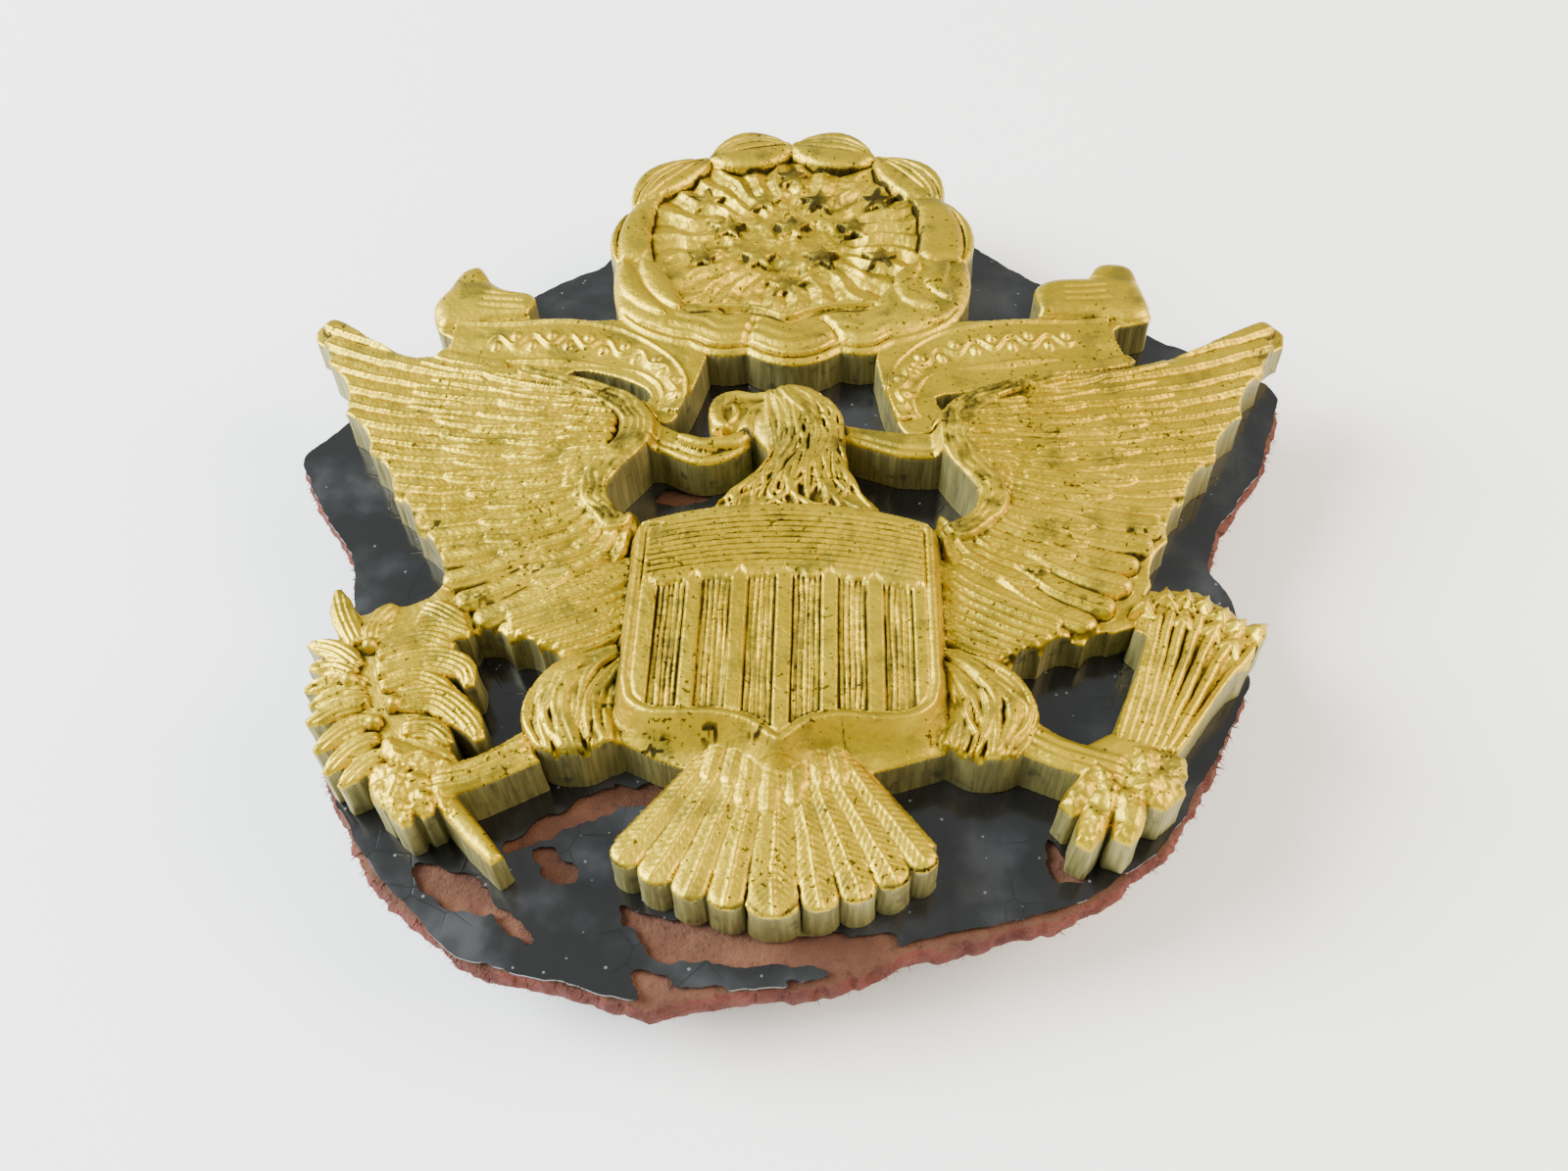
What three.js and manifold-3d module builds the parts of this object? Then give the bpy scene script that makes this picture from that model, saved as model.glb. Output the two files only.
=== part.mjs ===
// Peaked-cap badge: a die-struck, pierced gilt brass eagle on a patent-leather backing.
// It is held by a screw post, a flat washer and a knurled thumb nut behind the leather.
// Units are millimetres. The badge lies face up: +X is to its right, +Y towards its top and
// +Z out of its face. z = 0 is the plane that the nut rests on.
import * as THREE from 'three';
import { mergeVertices } from 'three/addons/utils/BufferGeometryUtils.js';
import Module from 'manifold-3d';

const wasm = await Module();
wasm.setup();

// ---- driving dimensions ----
const BADGE_HEIGHT = 60.3;        // tail feathers to the top of the cloud ring
const HALF_SPAN = 30.5;           // middle line to a wing tip
const EDGE_HEIGHT = 2.6;          // height of the pierced edge wall
const SHIELD_RISE = 4.5;          // height of the shield's face above the badge's back
const LEATHER_THICKNESS = 2.0;
const FILM_THICKNESS = 0.2;       // black patent lacquer on the leather
const LEATHER_DROP = 3.0;         // leather below the tail feathers
const NUT_DIAMETER = 19.0;
const NUT_DISC = 2.2;             // thickness of the nut's knurled disc
const NUT_HUB = 1.0;              // hub that stands on the disc towards the washer
const NUT_HUB_DIAMETER = 9.0;
const NUT_GROOVES = 48;
const WASHER_DIAMETER = 15.0;
const WASHER_THICKNESS = 0.8;
const POST_DIAMETER = 3.5;
const POST_TIP = 0.4;             // height of the post's end above the nut's lower face
const POST_Y = 23.0;              // the post stands behind the shield's top
const PIN_DIAMETER = 1.2;
const PIN_Y = { upper: 48.0, lower: 11.2 };
const PIN_TIP = 2.0;
const RUNNING_GAP = 0.3;          // nut bore and washer bore round the post
const FLOAT_GAP = 0.01;           // air between stacked faces, so none share a plane

// ---- stack of levels, from the nut up ----
const NUT_TOP = NUT_DISC + NUT_HUB;
const WASHER_BOTTOM = NUT_TOP + FLOAT_GAP;
const LEATHER_BOTTOM = WASHER_BOTTOM + WASHER_THICKNESS + FLOAT_GAP;
const FILM_BOTTOM = LEATHER_BOTTOM + LEATHER_THICKNESS + FLOAT_GAP;
const BACK = FILM_BOTTOM + FILM_THICKNESS + FLOAT_GAP;
const EDGE_TOP = BACK + EDGE_HEIGHT;
const SHIELD_TOP = BACK + SHIELD_RISE;
const SINK = 0.6;                 // how far a raised part reaches into what carries it

// ---- finishes ----
const finish = (color, roughness, metalness) =>
  new THREE.MeshStandardMaterial({ color, roughness, metalness });
const giltBrass = finish('#c9a23e', 0.38, 1.0);
const plainBrass = finish('#b08d3c', 0.42, 1.0);
const solder = finish('#a9a69c', 0.5, 1.0);
const russetLeather = finish('#8c4a32', 0.9, 0.0);
const blackPatent = finish('#2a2c30', 0.25, 0.0);

// ---- from three.js shapes to solids and back ----
function toSolid(geometry) {
  geometry.deleteAttribute('normal');
  geometry.deleteAttribute('uv');
  const merged = mergeVertices(geometry, 1e-4);
  const vertProperties = new Float32Array(merged.attributes.position.array);
  const triVerts = new Uint32Array(merged.index.array);
  return new wasm.Manifold(new wasm.Mesh({ numProp: 3, vertProperties, triVerts }));
}

function toMesh(name, solid, material) {
  const { vertProperties, triVerts } = solid.getMesh();
  const geometry = new THREE.BufferGeometry();
  geometry.setAttribute('position', new THREE.BufferAttribute(vertProperties, 3));
  geometry.setIndex(new THREE.BufferAttribute(triVerts, 1));
  geometry.computeVertexNormals();
  const mesh = new THREE.Mesh(geometry, material);
  mesh.name = name;
  return mesh;
}

const joined = (solids) => solids.reduce((all, next) => all.add(next));
const vectors = (points) => points.map(([x, y]) => new THREE.Vector2(x, y));
const mirrored = (points) => points.map(([x, y]) => [-x, y]);

// A flat slab of a closed outline, from height low to height high.
function slab(outline, low, high, holes = []) {
  const shape = outline instanceof THREE.Shape ? outline : new THREE.Shape(vectors(outline));
  shape.holes = holes.map((hole) => new THREE.Path(vectors(hole)));
  const options = { depth: high - low, bevelEnabled: false, curveSegments: 3 };
  return toSolid(new THREE.ExtrudeGeometry(shape, options).translate(0, 0, low));
}

// A low dome: an ellipsoid whose middle lies at height z.
function dome([x, y], rx, ry, z, rise, sides = 12) {
  const ball = new THREE.SphereGeometry(1, sides, 4).scale(rx, ry, rise);
  return toSolid(ball.translate(x, y, z));
}

// An upright round bar or disc.
function disc([x, y], radius, low, high, sides = 32) {
  const bar = new THREE.CylinderGeometry(radius, radius, high - low, sides);
  return toSolid(bar.rotateX(Math.PI / 2).translate(x, y, (low + high) / 2));
}

// A ridge of round section along a line in one plane.
function ridge(points, radius, z) {
  const path = new THREE.CatmullRomCurve3(points.map(([x, y]) => new THREE.Vector3(x, y, z)));
  const section = new THREE.Shape().absarc(0, 0, radius, 0, 2 * Math.PI);
  const options = { steps: 2 * points.length, extrudePath: path, curveSegments: 2 };
  return toSolid(new THREE.ExtrudeGeometry(section, options));
}

// ---- outlines ----
// Joins points with arcs that bulge to the right of the way they run, as feather ends do.
function scalloped(points, bulge, cuts = 3) {
  const edge = [];
  for (let i = 0; i + 1 < points.length; i += 1) {
    const [ax, ay] = points[i];
    const [bx, by] = points[i + 1];
    for (let k = 0; k < cuts; k += 1) {
      const t = k / cuts;
      const out = bulge * Math.sin(Math.PI * t);
      edge.push([ax + (bx - ax) * t + (by - ay) * out, ay + (by - ay) * t - (bx - ax) * out]);
    }
  }
  edge.push(points[points.length - 1]);
  return edge;
}

// A bar with round ends between two points.
function bar([ax, ay], [bx, by], radius) {
  const along = Math.atan2(by - ay, bx - ax);
  const shape = new THREE.Shape();
  shape.absarc(bx, by, radius, along - Math.PI / 2, along + Math.PI / 2);
  shape.absarc(ax, ay, radius, along + Math.PI / 2, along + 1.5 * Math.PI);
  return shape;
}

// A pointed leaf from its base to its tip.
function leaf([ax, ay], [bx, by], width) {
  const [mx, my] = [(ax + bx) / 2, (ay + by) / 2];
  const length = Math.hypot(bx - ax, by - ay);
  const [nx, ny] = [-(by - ay) * width / length, (bx - ax) * width / length];
  const shape = new THREE.Shape();
  shape.moveTo(ax, ay);
  shape.quadraticCurveTo(mx + nx, my + ny, bx, by);
  shape.quadraticCurveTo(mx - nx, my - ny, ax, ay);
  return shape;
}

function star([cx, cy], radius, points = 5, waist = 0.45) {
  const tips = [];
  for (let i = 0; i < 2 * points; i += 1) {
    const angle = Math.PI / 2 + i * Math.PI / points;
    const reach = i % 2 ? radius * waist : radius;
    tips.push([cx + reach * Math.cos(angle), cy + reach * Math.sin(angle)]);
  }
  return tips;
}

// ---- wings ----
const WING_FRONT = [[8, 13], [8, 22.8], [9.3, 23.2], [10.2, 24.6], [9.1, 26.8], [8, 29.2], [8.4, 30.9],
  [9.3, 31.6], [11, 33], [13.5, 33.9], [17, 34.8], [20.5, 35.6], [24, 36.8], [27, 38.5], [29.6, 40.1],
  [30.3, 39.9]];
const PINION_NOTCHES = [[HALF_SPAN, 39], [28.5, 35.4], [26.7, 31.5], [24.3, 28], [22.3, 25.1], [20.6, 22.5],
  [18.6, 19], [17.4, 16.6], [15.9, 15.5], [14, 14.8], [11.5, 13.8]];
const COVERT_FRONT = [[8, 16], [8, 22.8], [10.2, 24.6], [8.8, 29.2], [9.6, 31.2], [13.5, 33.4], [19, 35],
  [24.5, 36.6]];
const COVERT_NOTCHES = [[25.5, 35.4], [23.4, 32], [21.4, 28.6], [19.4, 25], [17, 21.6], [14, 18.8], [11, 17]];
const SHOULDER = [[9.6, 24.4], [10, 26.4], [9, 29.4], [10, 31.6], [13, 33], [17.5, 34.1]];
const COVERT_RISE = 0.45;
const SHOULDER_RADIUS = 0.95;
const FEATHER_BULGE = 0.14;

function wing(side) {
  const turned = (points) => (side < 0 ? mirrored(points) : points);
  const pinions = turned([...WING_FRONT, ...scalloped(PINION_NOTCHES, -FEATHER_BULGE)]);
  const coverts = turned([...COVERT_FRONT, ...scalloped(COVERT_NOTCHES, -FEATHER_BULGE)]);
  return joined([
    slab(pinions, BACK, EDGE_TOP),
    slab(coverts, EDGE_TOP - SINK, EDGE_TOP + COVERT_RISE),
    ridge(turned(SHOULDER), SHOULDER_RADIUS, EDGE_TOP),
  ]);
}

// ---- shield ----
const SHIELD_FACE = [[-7.9, 12], [-7.2, 10.8], [-5.8, 10.2], [-3.2, 10], [-1.4, 9.6], [0, 8.7], [1.4, 9.6],
  [3.2, 10], [5.8, 10.2], [7.2, 10.8], [7.9, 12], [7.9, 22.6], [4, 23.8], [0, 24.2], [-4, 23.8],
  [-7.9, 22.6]];
const SHIELD_SKIRT = [[-8.2, 22.7], [-8.2, 9], [-4, 7.7], [4, 7.7], [8.2, 9], [8.2, 22.7], [4, 24],
  [-4, 24]];
const PALE_COUNT = 7;
const PALE_WIDTH = 0.9;
const PALE_PITCH = 2.2;
const PALE_BOTTOM = 10.6;
const CHIEF_BOTTOM = 18.9;
const SHIELD_RELIEF = 0.25;

function shield() {
  const chief = [[-7.2, CHIEF_BOTTOM - 0.5], [0, CHIEF_BOTTOM + 0.6], [7.2, CHIEF_BOTTOM - 0.5],
    [7.2, 22.3], [0, 23.6], [-7.2, 22.3]];
  const parts = [
    slab(SHIELD_SKIRT, BACK, EDGE_TOP),
    slab(SHIELD_FACE, EDGE_TOP - SINK, SHIELD_TOP),
    slab(chief, SHIELD_TOP - SINK, SHIELD_TOP + SHIELD_RELIEF),
  ];
  for (let i = 0; i < PALE_COUNT; i += 1) {
    const x = (i - (PALE_COUNT - 1) / 2) * PALE_PITCH;
    const stripe = [[x - PALE_WIDTH / 2, PALE_BOTTOM], [x + PALE_WIDTH / 2, PALE_BOTTOM],
      [x + PALE_WIDTH / 2, CHIEF_BOTTOM], [x - PALE_WIDTH / 2, CHIEF_BOTTOM]];
    parts.push(slab(stripe, SHIELD_TOP - SINK, SHIELD_TOP + SHIELD_RELIEF));
  }
  return joined(parts);
}

// ---- tail ----
const FAN_CENTRE_Y = 12.65;
const FAN_RADIUS = 12.65;
const FAN_HALF_ANGLE = THREE.MathUtils.degToRad(36);
const TAIL_FEATHERS = 9;
const TAIL_TIP_RADIUS = 0.98;

function tail() {
  const parts = [slab([[-3.7, 8.6], [-7, 4], [0, 1.6], [7, 4], [3.7, 8.6]], BACK, EDGE_TOP - 0.2)];
  for (let i = 0; i < TAIL_FEATHERS; i += 1) {
    const angle = FAN_HALF_ANGLE * (2 * i / (TAIL_FEATHERS - 1) - 1);
    const at = (r) => [r * Math.sin(angle), FAN_CENTRE_Y - r * Math.cos(angle)];
    const rise = i % 2 ? 0 : 0.2;
    parts.push(slab(bar(at(5.5), at(FAN_RADIUS - TAIL_TIP_RADIUS), TAIL_TIP_RADIUS), BACK, EDGE_TOP + rise));
  }
  return joined(parts);
}

// ---- head, neck and the ribbon in the beak ----
const NECK = [[-4.2, 23.5], [-3.2, 25.8], [-1.9, 28], [-2.6, 30], [-4.2, 30.2], [-4.6, 31.7], [-3.6, 32.8],
  [-1.4, 32.5], [0.2, 33.4], [2, 32.6], [3.2, 30.8], [3.2, 28.2], [4, 25.6], [5, 23.5]];
const RIBBON_LEFT = [[-8.6, 31.8], [-7.6, 28.9], [-5, 27.7], [-3, 28.6], [-2, 29.8], [-3.6, 30.2],
  [-5, 29.6], [-6.6, 30.6], [-7.4, 31.6]];
const RIBBON_RIGHT = [[3, 30.8], [5, 30.3], [8.8, 30.2], [8.8, 28.3], [6.6, 28.3], [3, 29.6]];

function headAndNeck() {
  return joined([
    slab(NECK, BACK, EDGE_TOP),
    dome([0.6, 30.8], 2.4, 2.4, EDGE_TOP, 1.1),
    dome([0.6, 26.4], 2.2, 4, EDGE_TOP, 1.2),
    slab(RIBBON_LEFT, BACK, EDGE_TOP - 0.1),
    slab(RIBBON_RIGHT, BACK, EDGE_TOP - 0.1),
  ]);
}

// ---- cloud ring and stars ----
const RING_RADIUS = 9.3;          // middle of the ring of cloud lobes
const LOBE_COUNT = 11;            // one at the bottom, two side by side at the top
const LOBE_RADIUS = 3.0;
const RING_TOP = RING_RADIUS * Math.cos(Math.PI / LOBE_COUNT) + LOBE_RADIUS;
const RING_CENTRE = [-0.3, BADGE_HEIGHT - RING_TOP];
const LOBE_RISE = 1.1;
const FIELD_HEIGHT = 2.1;
const STAR_ROWS = [[54.9, 1], [52.2, 4], [49.3, 3], [46.2, 4], [43.3, 1]];
const STAR_PITCH = 3.9;
const STAR_RADIUS = 1.1;

function cloudRing() {
  const [cx, cy] = RING_CENTRE;
  const parts = [disc(RING_CENTRE, RING_RADIUS, BACK, BACK + FIELD_HEIGHT)];
  for (let i = 0; i < LOBE_COUNT; i += 1) {
    const angle = -Math.PI / 2 + 2 * Math.PI * i / LOBE_COUNT;
    const middle = [cx + RING_RADIUS * Math.cos(angle), cy + RING_RADIUS * Math.sin(angle)];
    parts.push(disc(middle, LOBE_RADIUS, BACK, EDGE_TOP - 0.3, 12));
    parts.push(dome(middle, LOBE_RADIUS, LOBE_RADIUS, EDGE_TOP - 0.3, LOBE_RISE, 12));
  }
  for (const [y, count] of STAR_ROWS) {
    for (let i = 0; i < count; i += 1) {
      const x = cx + (i - (count - 1) / 2) * STAR_PITCH;
      parts.push(slab(star([x, y], STAR_RADIUS), BACK + FIELD_HEIGHT - SINK, EDGE_TOP + 0.3));
    }
  }
  return joined(parts);
}

// ---- scroll, both halves ----
const SCROLL_BAND = [[5.3, 36.6], [6.6, 37.9], [9, 39.2], [12, 39.8], [17, 39.9], [20.6, 39.2], [21.3, 37.4],
  [21, 35.6], [13, 35.1], [11, 34.7], [9, 33.8], [8.5, 32.6], [9, 31.4], [6.7, 30.7], [5.8, 32]];
const SCROLL_ROLL = [[16.2, 39.5], [16, 42.6], [19.4, 43.5], [20.2, 45], [21.6, 44.6], [22.7, 40.8],
  [20.4, 38.6]];
const SCROLL_RISE = 0.35;
const BAR_FIRST_X = 8.4;          // plain raised bars along the band
const BAR_PITCH = 1.75;
const BAR_COUNT = 7;
const BAR_Y = 37.2;

function scroll(side) {
  const turned = (points) => (side < 0 ? mirrored(points) : points);
  const parts = [
    slab(turned(SCROLL_BAND), BACK, EDGE_TOP + SCROLL_RISE),
    slab(turned(SCROLL_ROLL), BACK, EDGE_TOP),
  ];
  for (let i = 0; i < BAR_COUNT; i += 1) {
    const x = side * (BAR_FIRST_X + BAR_PITCH * i);
    const mark = bar([x, BAR_Y - 0.8], [x, BAR_Y + 0.8], 0.3);
    parts.push(slab(mark, EDGE_TOP, EDGE_TOP + SCROLL_RISE + 0.2));
  }
  return joined(parts);
}

// ---- thighs, legs and claws ----
const THIGH_MIDDLE = [9.4, 11.6];
const LEG = [[8, 8.9], [11.5, 8.3], [14.2, 6.9], [15.6, 6.4], [16, 8.6], [12.6, 9.6], [10, 10.5]];
const TOES_LEFT = [[[-17, 7], [-17.2, 4.7], 0.85], [[-17, 7], [-15.6, 6.5], 1.1], [[-18.6, 7.4], [-18.6, 6], 0.9]];
const TOES_RIGHT = [[[15.6, 6.8], [13.7, 5.8], 0.75], [[16, 6.6], [14, 3.9], 0.75], [[16.7, 6.6], [15.8, 4.1], 0.75],
  [[17, 7.3], [18.4, 7.1], 1.4]];

function leg(side) {
  const turned = (points) => (side < 0 ? mirrored(points) : points);
  const [x, y] = THIGH_MIDDLE;
  const toes = side < 0 ? TOES_LEFT : TOES_RIGHT;
  return joined([
    slab(turned(LEG), BACK, EDGE_TOP - 0.1),
    disc([side * x, y], 3.2, BACK, EDGE_TOP - 0.4, 16),
    dome([side * x, y], 3.3, 3.4, EDGE_TOP - 0.5, 1.5, 16),
    ...toes.map(([from, to, radius]) => slab(bar(from, to, radius), BACK, EDGE_TOP + 0.3)),
  ]);
}

// ---- olive branch in the left claw ----
const STEM = [[-12.9, 2.8], [-16.4, 6.9], [-19.3, 9.8], [-21.4, 13], [-22.6, 15.6]];
const STEM_RADIUS = 0.45;
const LEAVES = [[[-22.2, 14.2], [-24, 18.4]], [[-21.8, 12.8], [-24.9, 14.9]], [[-21.2, 12], [-24.3, 11.6]],
  [[-20.4, 10.8], [-23.7, 9.4]], [[-19.6, 9.8], [-22.6, 7.2]], [[-18.6, 8.8], [-20.8, 6]],
  [[-22, 14], [-20.4, 18]], [[-21.4, 13], [-16, 15.8]], [[-20.6, 11.6], [-15.7, 12.6]],
  [[-19.2, 9.6], [-14.6, 9.1]]];
const LEAF_WIDTH = 1.9;
const BRANCH_BED = [[-20.5, 17.2], [-18.2, 19], [-17.6, 15.9], [-18.4, 13.6], [-17.6, 11], [-17, 9], [-18, 7.2],
  [-20.4, 7.6], [-22, 9.6], [-22.6, 12.4], [-22.9, 15.4]];

function oliveBranch() {
  const parts = [slab(BRANCH_BED, BACK, EDGE_TOP - 0.4)];
  for (let i = 0; i + 1 < STEM.length; i += 1) {
    parts.push(slab(bar(STEM[i], STEM[i + 1], STEM_RADIUS), BACK, EDGE_TOP + 0.1));
  }
  for (const [from, to] of LEAVES) {
    parts.push(slab(leaf(from, to, LEAF_WIDTH), BACK, EDGE_TOP - 0.1));
  }
  return joined(parts);
}

// ---- arrow bundle in the right claw ----
const BUNDLE = [[16.2, 9.2], [17.8, 12.9], [18.6, 15], [18.1, 15.8], [18.6, 17.3], [20, 18.5], [21.8, 18.7],
  [23.3, 17.5], [23.8, 16.8], [25, 16.4], [24.2, 15.2], [23.7, 14], [22, 12.5], [20, 9.6], [18.8, 8]];
const ARROWS = 6;
const SHAFT_FOOT = [[17, 9.6], [18.9, 8.8]];
const SHAFT_HEAD = [[19.2, 16.4], [23.7, 14.9]];
const SHAFT_RADIUS = 0.36;
const HEAD_LENGTH = 1.5;

function arrows() {
  const parts = [slab(BUNDLE, BACK, EDGE_TOP)];
  const mix = (a, b, t) => a + (b - a) * t;
  for (let i = 0; i < ARROWS; i += 1) {
    const t = i / (ARROWS - 1);
    const foot = [0, 1].map((k) => mix(SHAFT_FOOT[0][k], SHAFT_FOOT[1][k], t));
    const head = [0, 1].map((k) => mix(SHAFT_HEAD[0][k], SHAFT_HEAD[1][k], t));
    const length = Math.hypot(head[0] - foot[0], head[1] - foot[1]);
    const tip = [0, 1].map((k) => head[k] + (head[k] - foot[k]) * HEAD_LENGTH / length);
    parts.push(slab(bar(foot, head, SHAFT_RADIUS), EDGE_TOP - SINK, EDGE_TOP + 0.4));
    parts.push(slab(leaf(head, tip, 0.8), EDGE_TOP - SINK, EDGE_TOP + 0.5));
  }
  return joined(parts);
}

function eagleStriking() {
  return joined([wing(-1), wing(1), shield(), tail(), headAndNeck(), cloudRing(), scroll(-1), scroll(1),
    leg(-1), leg(1), oliveBranch(), arrows()]);
}

// ---- leather and its lacquer ----
const LEATHER_OUTLINE = [[0, 57.6], [-7, 56], [-11.4, 52], [-13.2, 48.4], [-17.5, 45.4], [-20.5, 42],
  [-26, 35.4], [-29.8, 30.2], [-28.3, 27.4], [-24.6, 22.4], [-23.4, 16], [-23.2, 8.4], [-19.6, 3.2], [-14.6, -1],
  [-9.8, -2.1], [-5.4, -LEATHER_DROP], [-2, -2.2], [2.1, -2.1], [5.9, -0.3], [13.5, 1.6], [18.8, 5.1],
  [21.6, 9.4], [24.4, 14.6], [24.6, 19.4], [23.5, 22], [24.5, 25.1], [27.8, 29.4], [30.2, 35.6], [29.6, 37],
  [24, 40.6], [20, 43.6], [15.7, 47], [12.1, 50.4], [9, 54.6]];
const FILM_INSET = 0.4;
// Places where the lacquer has flaked away and the russet leather shows.
const FLAKES = [
  [[-13, 4.4], [-10.8, 6.6], [-7.9, 8.1], [-5.6, 8.1], [-5.4, 6.8], [-7.4, 6.8], [-9.8, 6]],
  [[-17.2, 3.2], [-15.4, 3.5], [-13.1, 2], [-11.2, -0.1], [-12.3, 0.2], [-13.6, 1], [-15.5, 1.6]],
  [[-11.7, 4.4], [-10.4, 4], [-9.6, 2.9], [-10.9, 2.8]],
  [[-7.2, 1.6], [-4, 0.9], [3.4, 0.6], [3.6, -0.8], [-2, -1.1], [-6.4, -0.9]],
  [[-7.6, 27.6], [-4.6, 28], [-4.6, 26.8], [-7.2, 26.6]],
  [[13, 5.6], [14.6, 4], [15.4, 3.4], [13.4, 3.4]],
];

// Moves every point of a closed counter-clockwise outline inwards by one distance.
function inset(points, distance) {
  const n = points.length;
  return points.map(([x, y], i) => {
    const [px, py] = points[(i + n - 1) % n];
    const [qx, qy] = points[(i + 1) % n];
    const length = Math.hypot(qx - px, qy - py);
    return [x - (qy - py) * distance / length, y + (qx - px) * distance / length];
  });
}

// The middles and radii of the holes punched for the post, the pins and their solder.
const POST_HOLE = 3.7;
const PIN_HOLE = 1.9;
const punches = () => [
  disc([0, POST_Y], POST_HOLE, 0, BACK, 24),
  ...Object.values(PIN_Y).map((y) => disc([0, y], PIN_HOLE, 0, BACK, 16)),
];

function leatherBacking() {
  const blank = slab(LEATHER_OUTLINE, LEATHER_BOTTOM, LEATHER_BOTTOM + LEATHER_THICKNESS);
  return punches().reduce((solid, punch) => solid.subtract(punch), blank);
}

function lacquerFilm() {
  const outline = inset(LEATHER_OUTLINE, FILM_INSET);
  const coat = slab(outline, FILM_BOTTOM, FILM_BOTTOM + FILM_THICKNESS, FLAKES);
  return punches().reduce((solid, punch) => solid.subtract(punch), coat);
}

// ---- post, pins and their solder ----
// A round bar on the badge's back whose end is chamfered.
function peg(radius, tip, chamfer, y, sides) {
  const profile = vectors([[0, tip], [radius - chamfer, tip], [radius, tip + chamfer], [radius, BACK - FLOAT_GAP],
    [0, BACK - FLOAT_GAP]]);
  return toSolid(new THREE.LatheGeometry(profile, sides).rotateX(Math.PI / 2).translate(0, y, 0));
}

// A solder fillet: a ring of triangular section round a peg, against the badge's back.
function fillet(pegRadius, reach, drop, y, sides) {
  const inner = pegRadius + FLOAT_GAP;
  const top = BACK - FLOAT_GAP;
  const profile = vectors([[inner, top - drop], [inner + reach * 0.35, top - drop * 0.45], [inner + reach, top - 0.1],
    [inner + reach, top], [inner, top], [inner, top - drop]]);
  return toSolid(new THREE.LatheGeometry(profile, sides).rotateX(Math.PI / 2).translate(0, y, 0));
}

// ---- washer and nut ----
function flatWasher() {
  const middle = [0, POST_Y];
  const plate = disc(middle, WASHER_DIAMETER / 2, WASHER_BOTTOM, WASHER_BOTTOM + WASHER_THICKNESS, 48);
  return plate.subtract(disc(middle, POST_DIAMETER / 2 + RUNNING_GAP, 0, BACK, 24));
}

function knurledNut() {
  const middle = [0, POST_Y];
  const rim = NUT_DIAMETER / 2;
  const groove = 0.3;
  const teeth = [];
  for (let i = 0; i < 2 * NUT_GROOVES; i += 1) {
    const angle = Math.PI * i / NUT_GROOVES;
    const radius = i % 2 ? rim - groove : rim;
    teeth.push([radius * Math.cos(angle), POST_Y + radius * Math.sin(angle)]);
  }
  const body = slab(teeth, 0, NUT_DISC);
  const hub = disc(middle, NUT_HUB_DIAMETER / 2, NUT_DISC - SINK, NUT_TOP, 32);
  return body.add(hub).subtract(disc(middle, POST_DIAMETER / 2 + RUNNING_GAP, -1, BACK, 24));
}

// ---- assembly ----
const badge = new THREE.Group();
badge.add(toMesh('eagle_striking', eagleStriking(), giltBrass));
badge.add(toMesh('leather_backing', leatherBacking(), russetLeather));
badge.add(toMesh('lacquer_film', lacquerFilm(), blackPatent));
badge.add(toMesh('threaded_post', peg(POST_DIAMETER / 2, POST_TIP, 0.4, POST_Y, 24), plainBrass));
badge.add(toMesh('post_solder', fillet(POST_DIAMETER / 2, 1.5, 1.2, POST_Y, 24), solder));
for (const [place, y] of Object.entries(PIN_Y)) {
  badge.add(toMesh(`${place}_locating_pin`, peg(PIN_DIAMETER / 2, PIN_TIP, 0.35, y, 16), plainBrass));
  badge.add(toMesh(`${place}_pin_solder`, fillet(PIN_DIAMETER / 2, 0.9, 0.8, y, 16), solder));
}
badge.add(toMesh('flat_washer', flatWasher(), plainBrass));
badge.add(toMesh('knurled_nut', knurledNut(), plainBrass));

// The origin is at the middle of the object's box, on the plane that the nut rests on.
const middle = new THREE.Box3().setFromObject(badge).getCenter(new THREE.Vector3());
badge.position.set(-middle.x, -middle.y, 0);
const group = new THREE.Group();
group.add(badge);

export default group;
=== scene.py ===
"""Cap badge of gilt brass on a patent-leather backing, drawn as a Blender add-on that runs as a script.

The eagle is one die striking. Its relief is a height over a square grid: every feather, leaf,
star and groove is a formula that lifts or lowers the height, and the outline is a signed
distance that cuts the grid and drops the edge walls.
"""
import math

import bmesh
import bpy
import numpy as np
from bpy.props import FloatProperty, FloatVectorProperty, PointerProperty
from mathutils import Matrix, Vector


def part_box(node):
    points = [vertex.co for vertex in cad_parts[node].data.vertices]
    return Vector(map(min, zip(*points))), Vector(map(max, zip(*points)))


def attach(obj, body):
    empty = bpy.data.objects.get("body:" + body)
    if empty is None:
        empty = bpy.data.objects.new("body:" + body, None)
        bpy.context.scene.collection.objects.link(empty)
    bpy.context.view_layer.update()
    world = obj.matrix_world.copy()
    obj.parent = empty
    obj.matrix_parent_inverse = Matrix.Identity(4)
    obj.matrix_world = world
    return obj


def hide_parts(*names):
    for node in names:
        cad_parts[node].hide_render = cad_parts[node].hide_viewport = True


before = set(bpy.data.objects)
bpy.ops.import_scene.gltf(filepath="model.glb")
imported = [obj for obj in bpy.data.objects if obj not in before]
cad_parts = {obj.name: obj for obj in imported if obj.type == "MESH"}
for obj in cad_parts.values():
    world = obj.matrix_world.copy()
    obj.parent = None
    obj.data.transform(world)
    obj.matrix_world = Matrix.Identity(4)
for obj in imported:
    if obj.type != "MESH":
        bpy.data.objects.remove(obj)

bl_info = {
    "name": "Cap badge",
    "version": (1, 0, 0),
    "blender": (4, 5, 0),
    "location": "3D View > Sidebar > Badge",
    "description": "Builds a struck brass cap badge with its leather, post, washer and thumb nut",
    "category": "Object",
}

MM = 0.001


def in_mm(box):
    """A box's lowest and highest corner in millimetres."""
    return (np.array(corner) / MM for corner in box)


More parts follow.
